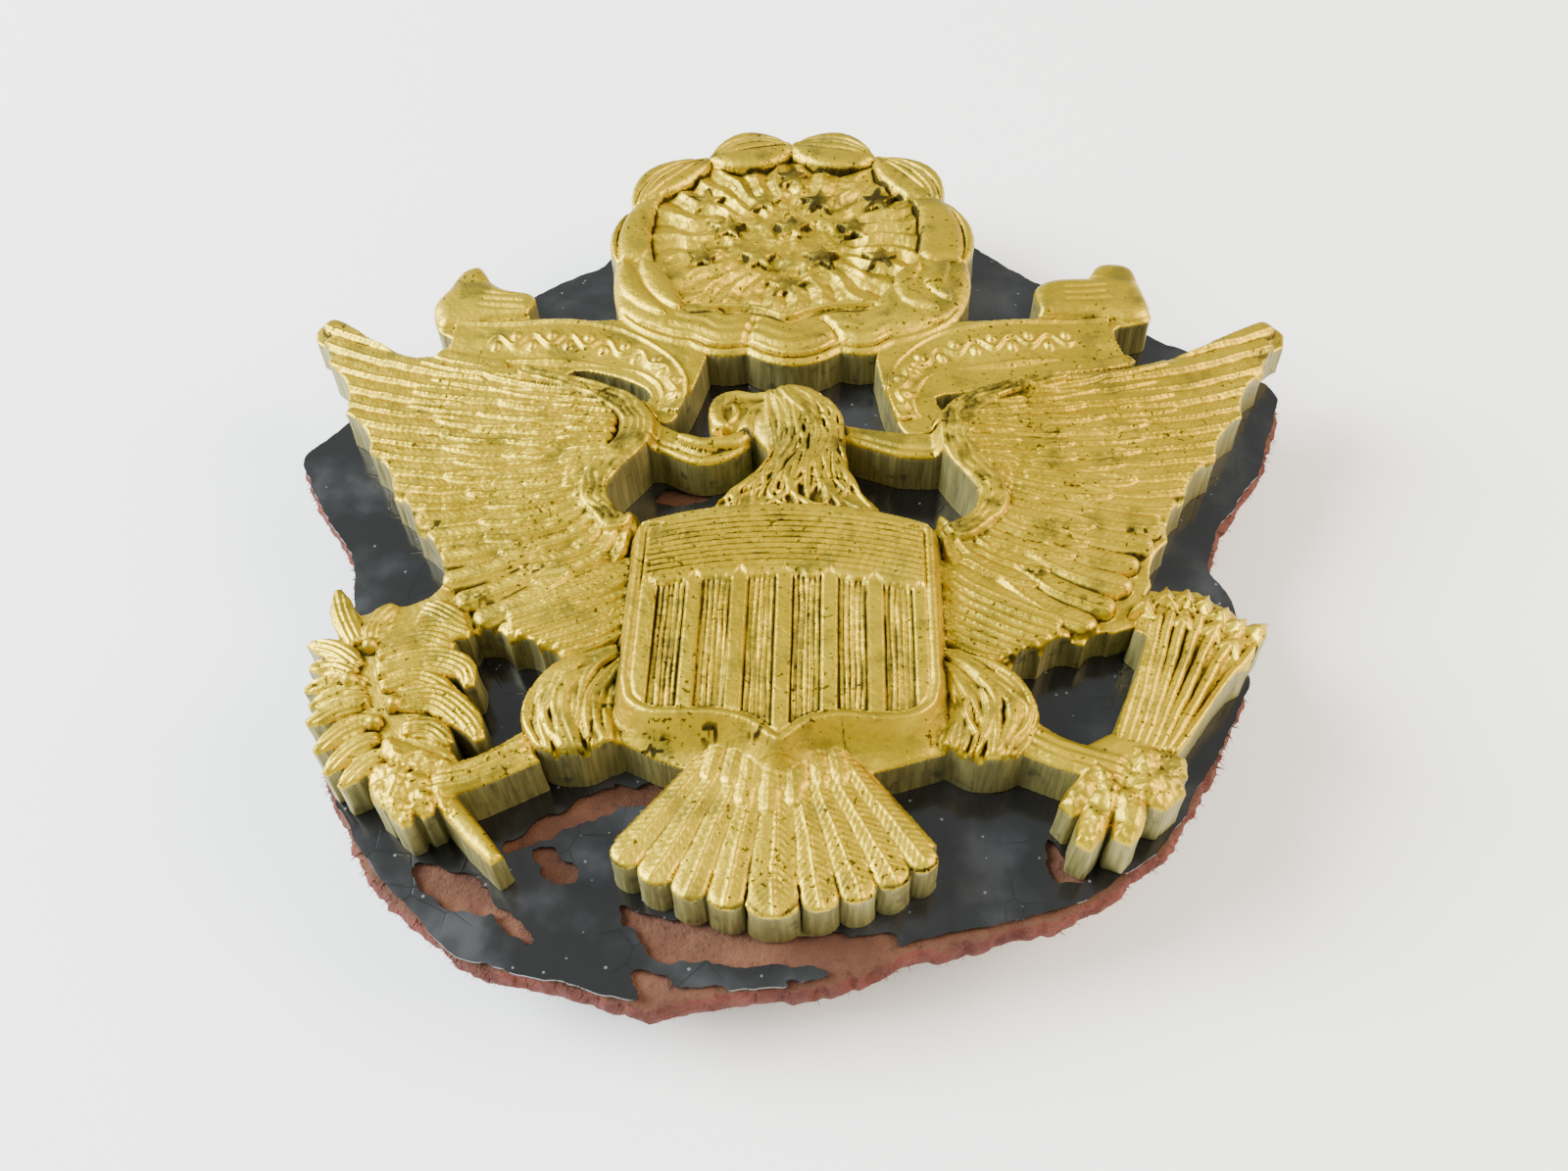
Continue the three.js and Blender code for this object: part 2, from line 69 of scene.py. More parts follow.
# Levels and centres that the frame gives, in millimetres.
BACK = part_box("eagle_striking")[0][2] / MM                  # the striking's flat back
POST_LOW, POST_HIGH = in_mm(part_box("threaded_post"))
# The drawing's own origin is on the middle line at the foot of the tail feathers.
POST_ABOVE_TAIL = 23.0
SHIFT_Y = (POST_LOW[1] + POST_HIGH[1]) / 2 - POST_ABOVE_TAIL

LATTICE = 97            # points along each side of the random lattice, which repeats beyond them
LATTICE_SHIFT = 1000    # keeps the lattice's coordinates above zero
BARB_SPACING = 0.36     # from one barb of a feather to the next
BARB_SLANT = 0.9        # how far a barb runs back for each millimetre outwards
QUILL_HALF = 0.1        # half width of a feather's quill
SCREW_PITCH = 0.6       # of the post and the thumb nut
NUT_BORE = 2.05         # radius of the hole in the nut and the washer
WALL_SHADE = 0.3        # recess, crevice and stain along the pierced edge


# ---------------------------------------------------------------- curves and distances

def spline(points, closed=False, per=8):
    """A Catmull-Rom curve through the points: each span blends four neighbours by cubic weights."""
    p = np.array(points, float)
    if closed:
        p = np.vstack([p[-1], p, p[0], p[1]])
    else:
        p = np.vstack([2 * p[0] - p[1], p, 2 * p[-1] - p[-2]])
    t = np.arange(per)[:, None] / per
    spans = []
    for a, b, c, d in zip(p[:-3], p[1:-2], p[2:-1], p[3:]):
        square = 2 * a - 5 * b + 4 * c - d
        cube = 3 * b - a - 3 * c + d
        spans.append(0.5 * (2 * b + (c - a) * t + square * t**2 + cube * t**3))
    curve = np.vstack(spans)
    return curve if closed else np.vstack([curve, p[-2]])


def arcs(points, bulge, per=6):
    """Joins points by arcs: each chord bows to its right by a rounded half sine, bulge times its length."""
    p = np.array(points, float)
    t = np.arange(per)[:, None] / per
    out = bulge * np.sin(np.pi * t) ** 0.8
    spans = [a + (b - a) * t + out * np.array([b[1] - a[1], a[0] - b[0]]) for a, b in zip(p[:-1], p[1:])]
    return np.vstack(spans + [p[-1:]])


def even(curve, count):
    """The curve's points spread evenly by arc length."""
    curve = np.asarray(curve, float)
    run = np.r_[0, np.cumsum(np.hypot(*np.diff(curve, axis=0).T))]
    at = np.linspace(0, run[-1], count)
    return np.stack([np.interp(at, run, curve[:, k]) for k in range(2)], 1)


def sided(points, sign):
    """The points, mirrored about the badge's middle line where the sign is -1."""
    return np.array(points, float) * (sign, 1)


def polygon_distance(x, y, points):
    """Signed distance to a closed outline: the nearest side's distance, negative by the even-odd rule."""
    nearest = np.full(x.shape, 1e9)
    inside = np.zeros(x.shape, bool)
    for (ax, ay), (bx, by) in zip(points, np.roll(points, -1, 0)):
        ex, ey = bx - ax, by - ay
        t = np.clip(((x - ax) * ex + (y - ay) * ey) / (ex * ex + ey * ey + 1e-12), 0, 1)
        nearest = np.minimum(nearest, (x - ax - t * ex) ** 2 + (y - ay - t * ey) ** 2)
        if ay != by:
            inside ^= ((ay > y) != (by > y)) & (x < ax + (y - ay) * ex / (by - ay))
    return np.where(inside, -1, 1) * np.sqrt(nearest)


def follow(x, y, curve):
    """Distance across an open curve, positive on its left, and distance along it, both in millimetres."""
    nearest = np.full(x.shape, 1e9)
    along = np.zeros(x.shape)
    side = np.ones(x.shape)
    run = 0.0
    for (ax, ay), (bx, by) in zip(curve[:-1], curve[1:]):
        ex, ey = bx - ax, by - ay
        length = math.hypot(ex, ey)
        t = np.clip(((x - ax) * ex + (y - ay) * ey) / (length**2 + 1e-12), 0, 1)
        dx, dy = x - ax - t * ex, y - ay - t * ey
        d = dx**2 + dy**2
        closer = d < nearest
        nearest = np.where(closer, d, nearest)
        along = np.where(closer, run + t * length, along)
        side = np.where(closer, np.sign(ex * dy - ey * dx), side)
        run += length
    return np.sqrt(nearest) * side, along


def ease(low, high, value):
    """A smooth step from 0 at low to 1 at high: 3t2 - 2t3."""
    t = np.clip((value - low) / (high - low), 0, 1)
    return t * t * (3 - 2 * t)


def bell(value, middle, width):
    """A bell curve: 1 at the middle, 1/e at width on either side of it."""
    return np.exp(-((value - middle) / width) ** 2)


def wave(value, spacing):
    """A cosine from -1 to 1 with its crests the given spacing apart."""
    return np.cos(2 * np.pi * value / spacing)


def quarter(t):
    """The height of a quarter circle that climbs steeply from t = 0 and levels out at t = 1."""
    return np.sqrt(1 - (1 - t) ** 2)


def speckle(x, y, size, seed):
    """Smooth random values from -1 to 1: a random lattice of the given size, blended by the smooth step."""
    lattice = np.random.default_rng(seed).uniform(-1, 1, (LATTICE, LATTICE))
    u, v = x / size + LATTICE_SHIFT, y / size + LATTICE_SHIFT
    i, j = np.floor(u).astype(int), np.floor(v).astype(int)
    fu, fv = u - i, v - j
    fu, fv = fu * fu * (3 - 2 * fu), fv * fv * (3 - 2 * fv)

    def row(k):
        """The lattice k rows up, blended along x."""
        line = (j + k) % LATTICE
        return lattice[line, i % LATTICE] * (1 - fu) + lattice[line, (i + 1) % LATTICE] * fu

    return row(0) * (1 - fv) + row(1) * fv


def cloudy(x, y, size, seed, octaves=3):
    """Speckle at halving sizes and strengths, summed."""
    return sum(speckle(x, y, size / 2**k, seed + k) / 2**k for k in range(octaves))


# ---------------------------------------------------------------- the struck relief

REGIONS = ("shield", "wing_left", "wing_right", "cloud_ring", "scroll_left", "scroll_right", "head", "tail",
           "branch", "arrows")


class Relief:
    """A height, a darkening that holds real stains and painted shade, and an edge distance over a square
    grid, in millimetres above the flat back.
    """

    def __init__(self, step, low=(-31.2, -0.8), high=(31.2, 61.0)):
        self.step = step
        self.xs = np.arange(low[0], high[0], step)
        self.ys = np.arange(low[1], high[1], step)
        self.x, self.y = np.meshgrid(self.xs, self.ys)
        self.h = np.zeros(self.x.shape)
        self.stain_and_shade = np.zeros(self.x.shape)
        # Coordinates that waver a little, so that repeated strokes look cut by hand.
        self.wx = self.x + 0.08 * speckle(self.x, self.y, 2.0, 1) + 0.02 * speckle(self.x, self.y, 0.7, 21)
        self.wy = self.y + 0.08 * speckle(self.x, self.y, 2.0, 2) + 0.02 * speckle(self.x, self.y, 0.7, 22)
        self.regions = [np.full(self.x.shape, 9.0) for _ in REGIONS]

    def window(self, points, margin):
        """The part of the grid within margin of the points."""
        low = np.min(points, 0) - margin
        high = np.max(points, 0) + margin
        j0, j1 = np.searchsorted(self.xs, (low[0], high[0]))
        i0, i1 = np.searchsorted(self.ys, (low[1], high[1]))
        return slice(i0, i1), slice(j0, j1)

    def around(self, points, margin):
        """The window round a closed outline and the signed distance to it."""
        w = self.window(points, margin)
        return w, polygon_distance(self.x[w], self.y[w], points)

    def outline(self, points, region):
        """Adds a closed outline to a region of the silhouette; gives its window and signed distance."""
        w, d = self.around(points, 1.2)
        field = self.regions[REGIONS.index(region)]
        field[w] = np.minimum(field[w], d)
        return w, d

    def lift(self, w, height, where):
        """Raises the height in a window to at least the given height, where the mask holds."""
        self.h[w] = np.where(where, np.maximum(self.h[w], height), self.h[w])

    def add_stain_and_shade(self, w, grime_and_shade):
        """Raises the darkening in a window, which holds both real stains and painted shade, to at least the
        given amount.
        """
        self.stain_and_shade[w] = np.maximum(self.stain_and_shade[w], grime_and_shade)

    def noise(self, w, size, seed):
        """Speckle over a window."""
        return speckle(self.x[w], self.y[w], size, seed)

    def grow_edge(self, rounds=4):
        """Carries the height a few steps outwards over the silhouette, so that the face ends crisply."""
        for _ in range(rounds):
            wide = np.pad(self.h, 1)
            near = np.maximum.reduce([wide[1:-1, :-2], wide[1:-1, 2:], wide[:-2, 1:-1], wide[2:, 1:-1]])
            self.h = np.where(self.h < 1.5, near, self.h)

    def edge(self):
        """The signed distance to the silhouette."""
        return np.minimum.reduce(self.regions)


def pillow(r, points, base, crown, radius, region=None):
    """A puffed shape: the height climbs inwards from the outline as a quarter circle of the given radius."""
    w, d = r.outline(points, region) if region else r.around(points, 0.2)
    soft = blur_mm(d, 0.18, r.step)
    t = np.clip(-soft / radius, 0, 1)
    r.lift(w, base + crown * quarter(t), d < 0)


def strip(curve, widths, count=24):
    """The closed outline of a bar that follows a curve, its half width given at even steps along it."""
    curve = even(curve, count)
    lean = np.gradient(curve, axis=0)
    out = np.stack([-lean[:, 1], lean[:, 0]], 1) / np.hypot(*lean.T)[:, None]
    half = np.interp(np.linspace(0, 1, count), np.linspace(0, 1, len(widths)), widths)[:, None]
    return np.vstack([curve + out * half, (curve - out * half)[::-1]])


def lay_feather(r, root, tip, width, low, high, sag=0.0, crown=0.25, barb=0.02, quill=0.04, taper=1.0,
                ridge=0.0):
    """One feather: a bar with a round tip, bowed sideways by sag, narrower at the root by taper.

    Its height runs from low at the root to high at the tip, with a flat crown across it, a fine quill
    along it (ridge gives how far out, in half widths) and slanting barbs whose height is a sine of the
    way along less the way out.
    """
    root, tip = np.array(root, float), np.array(tip, float)
    length = math.hypot(*(tip - root))
    ux, uy = (tip - root) / length
    bend = np.array([-uy, ux]) * sag
    w = r.window(np.array([root, tip, root + bend, tip + bend]), width)
    dx, dy = r.wx[w] - root[0], r.wy[w] - root[1]
    u = dx * ux + dy * uy
    t = np.clip(u / length, 0, 1)
    v = -dx * uy + dy * ux - sag * 4 * t * (1 - t)
    radius = width / 2 * (taper + (1 - taper) * t)
    d = np.hypot(u - np.clip(u, 0, length - radius), v) / radius
    height = low + (high - low) * t + crown * (1 - d**4)
    height = height + quill * bell(v, ridge * radius, QUILL_HALF)
    barbs = barb * np.sin(2 * np.pi * (u - BARB_SLANT * np.abs(v)) / BARB_SPACING)
    height = height + barbs * ease(0.05, 0.2, np.abs(v)) * (1 - d)
    on_top = (d < 1) & (height > r.h[w])
    # Painted shade along the groove between feathers: darker towards the feather's edge, broken by noise.
    grime_and_shade = 0.75 * ease(0.72, 1, d) * ease(-0.7, 0.5, r.noise(w, 0.9, 56))
    r.stain_and_shade[w] = np.where(on_top, grime_and_shade, r.stain_and_shade[w])
    r.lift(w, height, d < 1)


def feather_row(r, roots, tips, count, width, low, high, slack, **look):
    """Feathers whose roots and tips are spread evenly along two curves."""
    roots, tips = even(roots, count), even(tips, count)
    rng = np.random.default_rng(count)
    for k in range(count):
        wobble = 0.07 * rng.uniform(-1, 1)
        reach = tips[k] - roots[k]
        tip = tips[k] - reach * rng.uniform(0, slack)
        lay_feather(r, roots[k], tip, width * rng.uniform(0.88, 1.06), low + wobble, high + wobble, **look)


def blade(r, points, width, low, high, crown, line, depth, shape, region):
    """A leaf, toe or leg: a bar along a curve with its own outline, rounded across, lined lengthways."""
    curve = spline(points, per=6)
    body = strip(curve, np.array(shape) * width / 2)
    w, d = r.outline(body, region)
    v, u = follow(r.x[w], r.y[w], curve)
    t = np.clip(-d / (width / 2), 0, 1)
    height = low + (high - low) * u / max(u.max(), 0.1) + crown * quarter(t)
    if line:
        height = height + depth * wave(v, line) * ease(0, 0.2, t)
    r.lift(w, height, d < 0)


def strand(r, points, width, base, crown, taper=0.3):
    """A thin raised line along a curve: a half circle across, thinner towards both ends."""
    curve = spline(points, per=5)
    w = r.window(curve, width)
    v, u = follow(r.wx[w], r.wy[w], curve)
    t = u / max(u.max(), 0.1)
    half = width / 2 * (taper + (1 - taper) * np.sin(np.pi * np.clip(t, 0, 1)) ** 0.6)
    bump = 1 - (v / half) ** 2
    r.lift(w, base + crown * np.sqrt(np.clip(bump, 0, 1)), bump > 0)


def locks(r, left, right, count, width, base, dome, crown, seed, length):
    """Overlapping wavy strands that flow between two rails, each over a share of the way.

    A point of the flow is the mean of the two rails weighted by how far across it is; the strands
    stand on a dome that is a half sine across, and rise no more than a set height over what is there.
    """
    steps, most = 30, 0.52
    left, right = even(spline(left), steps), even(spline(right), steps)
    under = r.h.copy()
    rng = np.random.default_rng(seed)
    way = np.linspace(0, 1, steps)
    starts = np.sort(rng.uniform(-0.15, 1 - 0.6 * length, count))[::-1]
    for start in starts:
        s = rng.uniform(0.03, 0.97)
        drift = rng.uniform(-0.1, 0.1)
        t = np.clip(start + length * rng.uniform(0.7, 1.2) * np.linspace(0, 1, 5), 0, 1)
        across = np.clip(s + drift * np.sin(np.linspace(0, 5, 5)), 0.02, 0.98)
        a, b = (np.stack([np.interp(t, way, rail[:, k]) for k in (0, 1)], 1) for rail in (left, right))
        path = a + (b - a) * across[:, None]
        stand = base + dome * math.sin(math.pi * s) + 0.12 * rng.uniform(-1, 1)
        strand(r, path, width * rng.uniform(0.75, 1.25), stand, crown)
    r.h = np.where(under > 0, np.minimum(r.h, under + most), under)


def groove(r, points, width, depth, grime_and_shade=0.0):
    """Cuts a soft channel along a curve: its depth and its painted shade fall off across it as a bell curve,
    the shade broken by noise.
    """
    curve = spline(points, per=5)
    w = r.window(curve, 3 * width)
    v, u = follow(r.x[w], r.y[w], curve)
    cut = ease(0, 0.6, u) * ease(0, 0.6, u.max() - u) * bell(v, 0, width)
    r.h[w] -= depth * cut
    if grime_and_shade:
        r.add_stain_and_shade(w, grime_and_shade * cut * ease(-0.6, 0.4, r.noise(w, 0.8, 59)))


def roughen(r, points, size, depth, seed):
    """Adds worn, hammered unevenness inside an outline."""
    w, d = r.around(points, 0)
    r.h[w] += depth * cloudy(r.x[w], r.y[w], size, seed) * ease(0, 0.5, -d)


# ---- wings. Each side has its own outline, because the two wings of a hand-cut die differ.

WING_FRONT = {
    -1: [(-9, 13.2), (-8, 14), (-8, 22.9), (-8.8, 22.9), (-9.7, 23.8), (-10, 25), (-9.4, 26.4),
         (-8.3, 28), (-7.7, 29.6), (-8.2, 31), (-9.3, 32.2), (-11, 33.1), (-12.6, 33.6), (-14.5, 34.2),
         (-17, 35), (-21.5, 36), (-24, 36.5), (-26, 37.6), (-28, 39.2), (-29, 39.9), (-29.8, 40.05)],
    1: [(9, 13.4), (8, 14), (8, 22.6), (8.9, 22.5), (9.9, 23), (10.5, 23.9), (10.5, 25.2), (9.6, 26.6),
        (8.7, 28.4), (8.6, 30), (9.2, 31.6), (10.6, 32.7), (12.2, 33.4), (14, 34), (17, 34.7),
        (20.4, 35.3), (24, 36.7), (26, 38), (28, 39.2), (29, 39.8), (29.8, 40)],
}
PINION_NOTCHES = {
    -1: [(-29.8, 40.05), (-30.35, 39.2), (-30.1, 38.2), (-28.6, 35.7), (-26.5, 31.3), (-24.3, 28.1),
         (-22.4, 25.1), (-20.6, 22.6), (-18.3, 18.7), (-19.5, 17)],
    1: [(29.8, 40), (30.5, 39.2), (30.3, 38), (28.4, 35.1), (26.4, 31.3), (24.3, 27.9), (22.2, 25.2),
        (20.9, 22.4), (19.6, 19.4), (19.2, 17)],
}
TERTIAL_NOTCHES = {
    -1: [(-17.6, 15.4), (-16, 15.7), (-14.1, 14.9), (-12.4, 14.4), (-11.2, 13.6)],
    1: [(17.2, 16.2), (15.6, 15.4), (13.3, 14.7), (11.7, 13.9)],
}
# Roots and tips of the feather rows on the left wing, outermost first.
PINION_ROOTS = [(-18, 35.3), (-19.6, 33.4), (-19.6, 31), (-18.4, 28.2), (-16.4, 25.4), (-14.2, 22.4),
                (-12, 19.6), (-9, 17)]
PINION_TIPS = [(-30, 39.6), (-29, 36), (-27.8, 33), (-25.7, 29.7), (-23.8, 27.2), (-21.8, 24.5),
               (-19.6, 21.2), (-17.9, 17.8), (-16, 15.9), (-14, 15), (-11.6, 14)]
COVERT_ROOTS = [(-15.5, 34.4), (-15.4, 32), (-14.8, 29), (-13.6, 26), (-12, 23.2), (-10.4, 20.8),
                (-8.6, 18.8)]
COVERT_TIPS = [(-24.8, 36.4), (-24.2, 33.4), (-22.6, 30.6), (-20.9, 28), (-19.2, 25.2), (-17.2, 22.4),
               (-14.8, 19.6), (-11.8, 17.2)]
LESSER_ROOTS = [(-12.6, 33), (-12, 31), (-11.8, 28.6), (-11.2, 26), (-10.4, 23.8), (-8.8, 21.8)]
LESSER_TIPS = [(-19.6, 35), (-19, 32), (-17.6, 29.2), (-16.2, 26.4), (-14.4, 23.6), (-12.4, 21.2),
               (-9.8, 19.2)]
SCALE_ROOTS = [(-11.4, 32.6), (-10.6, 30.6), (-10.6, 28.4), (-11, 26.2), (-10.4, 24.2), (-8.8, 22.8)]
SCALE_TIPS = [(-14.8, 33.8), (-14.2, 31.2), (-13.8, 28.8), (-13.2, 26.4), (-12, 24.2), (-9.8, 22)]
LOW_ROW = ([(-8.4, 20), (-8.3, 17.6), (-8.3, 15.4)], [(-15.8, 16.2), (-14, 15.2), (-11.6, 14.2)])
# Dark patches on a wing: how far out, how far up and how large.
WING_PATCHES = ((16.2, 17.6, 1.1), (13.4, 19.6, 0.7), (19.2, 22.6, 0.7))
SHOULDER = {
    -1: [(-9.4, 22.8), (-10.6, 24.6), (-10.3, 26.4), (-9.2, 28.2), (-8.8, 29.8), (-9.4, 31.3),
         (-11.2, 32.6), (-13.4, 33.4), (-16, 34.3)],
    1: [(9.6, 22.4), (11.2, 24), (11.1, 25.6), (10.2, 27.2), (9.6, 29), (9.8, 30.6), (11, 32), (13, 33.1),
        (16, 34.1)],
}


def raise_wing(r, side, region):
    """A wing: a bed that climbs inwards, rows of feathers that overlap like tiles, a rough shoulder rim."""
    front, notches = WING_FRONT[side], PINION_NOTCHES[side]
    pinions = arcs(notches[2:], 0.13 * side)
    tertials = arcs(TERTIAL_NOTCHES[side], 0.2 * side)
    w, d = r.outline(np.vstack([spline(front + notches[1:3], per=3), pinions, tertials]), region)
    r.lift(w, 2.1 + 0.7 * ease(0, 9, -d), d < 0.3)
    rows = [
        (PINION_ROOTS, PINION_TIPS, 20, 1.65, 2.6, 2.42, 0.35),
        (COVERT_ROOTS, COVERT_TIPS, 18, 1.4, 2.82, 2.52, 0.3),
        (LESSER_ROOTS, LESSER_TIPS, 16, 1.2, 3.0, 2.68, 0.25),
        (SCALE_ROOTS, SCALE_TIPS, 15, 1.0, 3.15, 2.88, 0.0),
    ]
    for roots, tips, count, width, low, high, sag in rows:
        slack = 0.03 if sag == 0.35 else 0.28
        feather_row(r, sided(spline(roots), -side), sided(spline(tips), -side), count, width, low, high,
                    slack, sag=-side * sag, crown=0.3, quill=0.16, barb=0.018, ridge=-0.45 * side)
    w = r.window(np.array(front), 0)
    r.h[w] += 0.025 * cloudy(r.x[w], r.y[w], 0.7, 50 + side) * (r.h[w] > 0)
    roots, tips = (sided(spline(rail), -side) for rail in LOW_ROW)
    feather_row(r, roots, tips, 8, 1.3, 2.74, 2.6, 0.12, sag=-side * 0.3, crown=0.32, quill=0.14,
                barb=0.028, taper=0.75, ridge=-0.4 * side)
    for px, py, size in WING_PATCHES:
        w = r.window([(side * px - 2, py - 2), (side * px + 2, py + 2)], 0)
        near = ease(1.4 * size, 0.3 * size, np.hypot(r.x[w] - side * px, 1.6 * (r.y[w] - py)))
        patch = 0.8 * near * ease(-0.05, 0.25, r.noise(w, 0.22, 60 + side))
        r.add_stain_and_shade(w, patch)
    rim = spline(SHOULDER[side])
    w = r.window(rim, 1.6)
    across, along = follow(r.x[w], r.y[w], rim)
    half = 1.3 * (1 - 0.5 * ease(9, 14, along))
    t = np.clip(1 - np.abs(across) / half, 0, 1)
    lines = 0.03 * wave(across + 0.25 * r.noise(w, 1.0, 44), 0.42)
    rough = lines + 0.06 * cloudy(r.x[w], r.y[w], 0.7, 40 + side)
    band = 2.85 + 0.75 * ease(0, 0.42, t) + rough * ease(0, 0.3, t)
    r.lift(w, band, np.abs(across) < half)
    worn = 0.16 + 0.34 * ease(-0.5, 0.6, r.noise(w, 0.7, 55))
    r.add_stain_and_shade(w, worn * ease(0, 0.5, t))


# ---- the ring of cloud with its field of rays and stars

CLOUD_NOTCHES = [(-11.0, 40), (-11.75, 45.4), (-11.25, 51.1), (-6.4, 56.9), (-0.5, 58.6), (5.5, 57),
                 (10, 52), (11.25, 45.4), (10.4, 40)]
CLOUD_SWELL = (0.05, 0.16, 0.31, 0.38, 0.36, 0.31, 0.18, 0.09)
CUSPS = [(-6.9, 40.9), (-9.3, 45.4), (-9.3, 52.5), (-6.1, 56.1), (-0.5, 57.1), (5.2, 56.1), (8, 51.8),
         (7.9, 45.2), (5.1, 41.4)]
CUSP_SWELL = (-0.06, 0.06, -0.1, -0.2, -0.2, -0.12, 0.05, 0.08)
LOWER_NOTCHES = [(10.4, 40), (6.4, 37.7), (3.05, 37.05), (-2.8, 36.9), (-6.5, 37.5), (-11.0, 40)]
LOWER_SWELL = (0.1, 0.16, 0.2, 0.14, 0.1)
STARS = [(-0.4, 54.9), (-6.2, 52.2), (-2.3, 52.2), (1.6, 52.2), (5.5, 52.2), (-4.6, 49.3), (-0.3, 49.3),
         (3.9, 49.3), (-6.1, 46.2), (-2.4, 46.2), (1.7, 46.2), (5.6, 46.2), (-0.5, 43.3)]
GLORY = (-0.3, 48.3)


def chain(points, swells):
    """Arcs through the points, each with its own swell."""
    parts = [arcs(points[k:k + 2], -swell, per=8)[:-1] for k, swell in enumerate(swells)]
    return parts + [np.array(points[-1:], float)]


def raise_field(r, w, field):
    """The dished field: broad rays broken by fine ones, lumps round the middle, tarnished stars."""
    x, y = r.x[w], r.y[w]
    angle = np.arctan2(y - GLORY[1], x - GLORY[0])
    reach = np.hypot(x - GLORY[0], y - GLORY[1])
    bend = 0.25 * np.sin(3 * angle) + 0.12 * np.sin(reach * 1.7 + 4 * angle)
    ray = np.abs(np.mod(angle * 26 / (2 * np.pi) + bend, 1) - 0.5) * 2
    fine = np.abs(np.mod(angle * 78 / (2 * np.pi) + 2 * bend, 1) - 0.5) * 2
    rays = (0.4 * ray + 0.07 * fine * ray) * ease(2.5, 6.0, reach)
    lumps = 0.24 * cloudy(x, y, 1.3, 7) * ease(8.5, 3.0, reach) + 0.05 * cloudy(x, y, 0.6, 17)
    r.h[w] = np.where(field < 0, 2.2 + rays + lumps, r.h[w])
    grimy = 0.5 * ease(3.5, 0.5, np.hypot(x - 0.2, y - 44.8)) * ease(-0.2, 0.5, speckle(x, y, 0.6, 20))
    r.stain_and_shade[w] = np.where(field < 0, np.maximum(r.stain_and_shade[w], grimy), r.stain_and_shade[w])
    spin = np.pi / 2 + np.arange(10) * np.pi / 5
    reach = np.where(np.arange(10) % 2, 0.56, 1.36)
    for x, y in STARS:
        star = np.stack([x + reach * np.cos(spin), y + reach * np.sin(spin)], 1)
        w, d = r.around(star, 0.2)
        r.lift(w, 2.58 - 0.25 * np.maximum(d, -0.6) + 0.03 * r.noise(w, 0.4, 18), d < 0)
        dull = 0.62 + 0.3 * r.noise(w, 1.2, 19)
        r.add_stain_and_shade(w, dull * ease(0.2, -0.1, d + 0.15 * r.noise(w, 0.3, 21)))


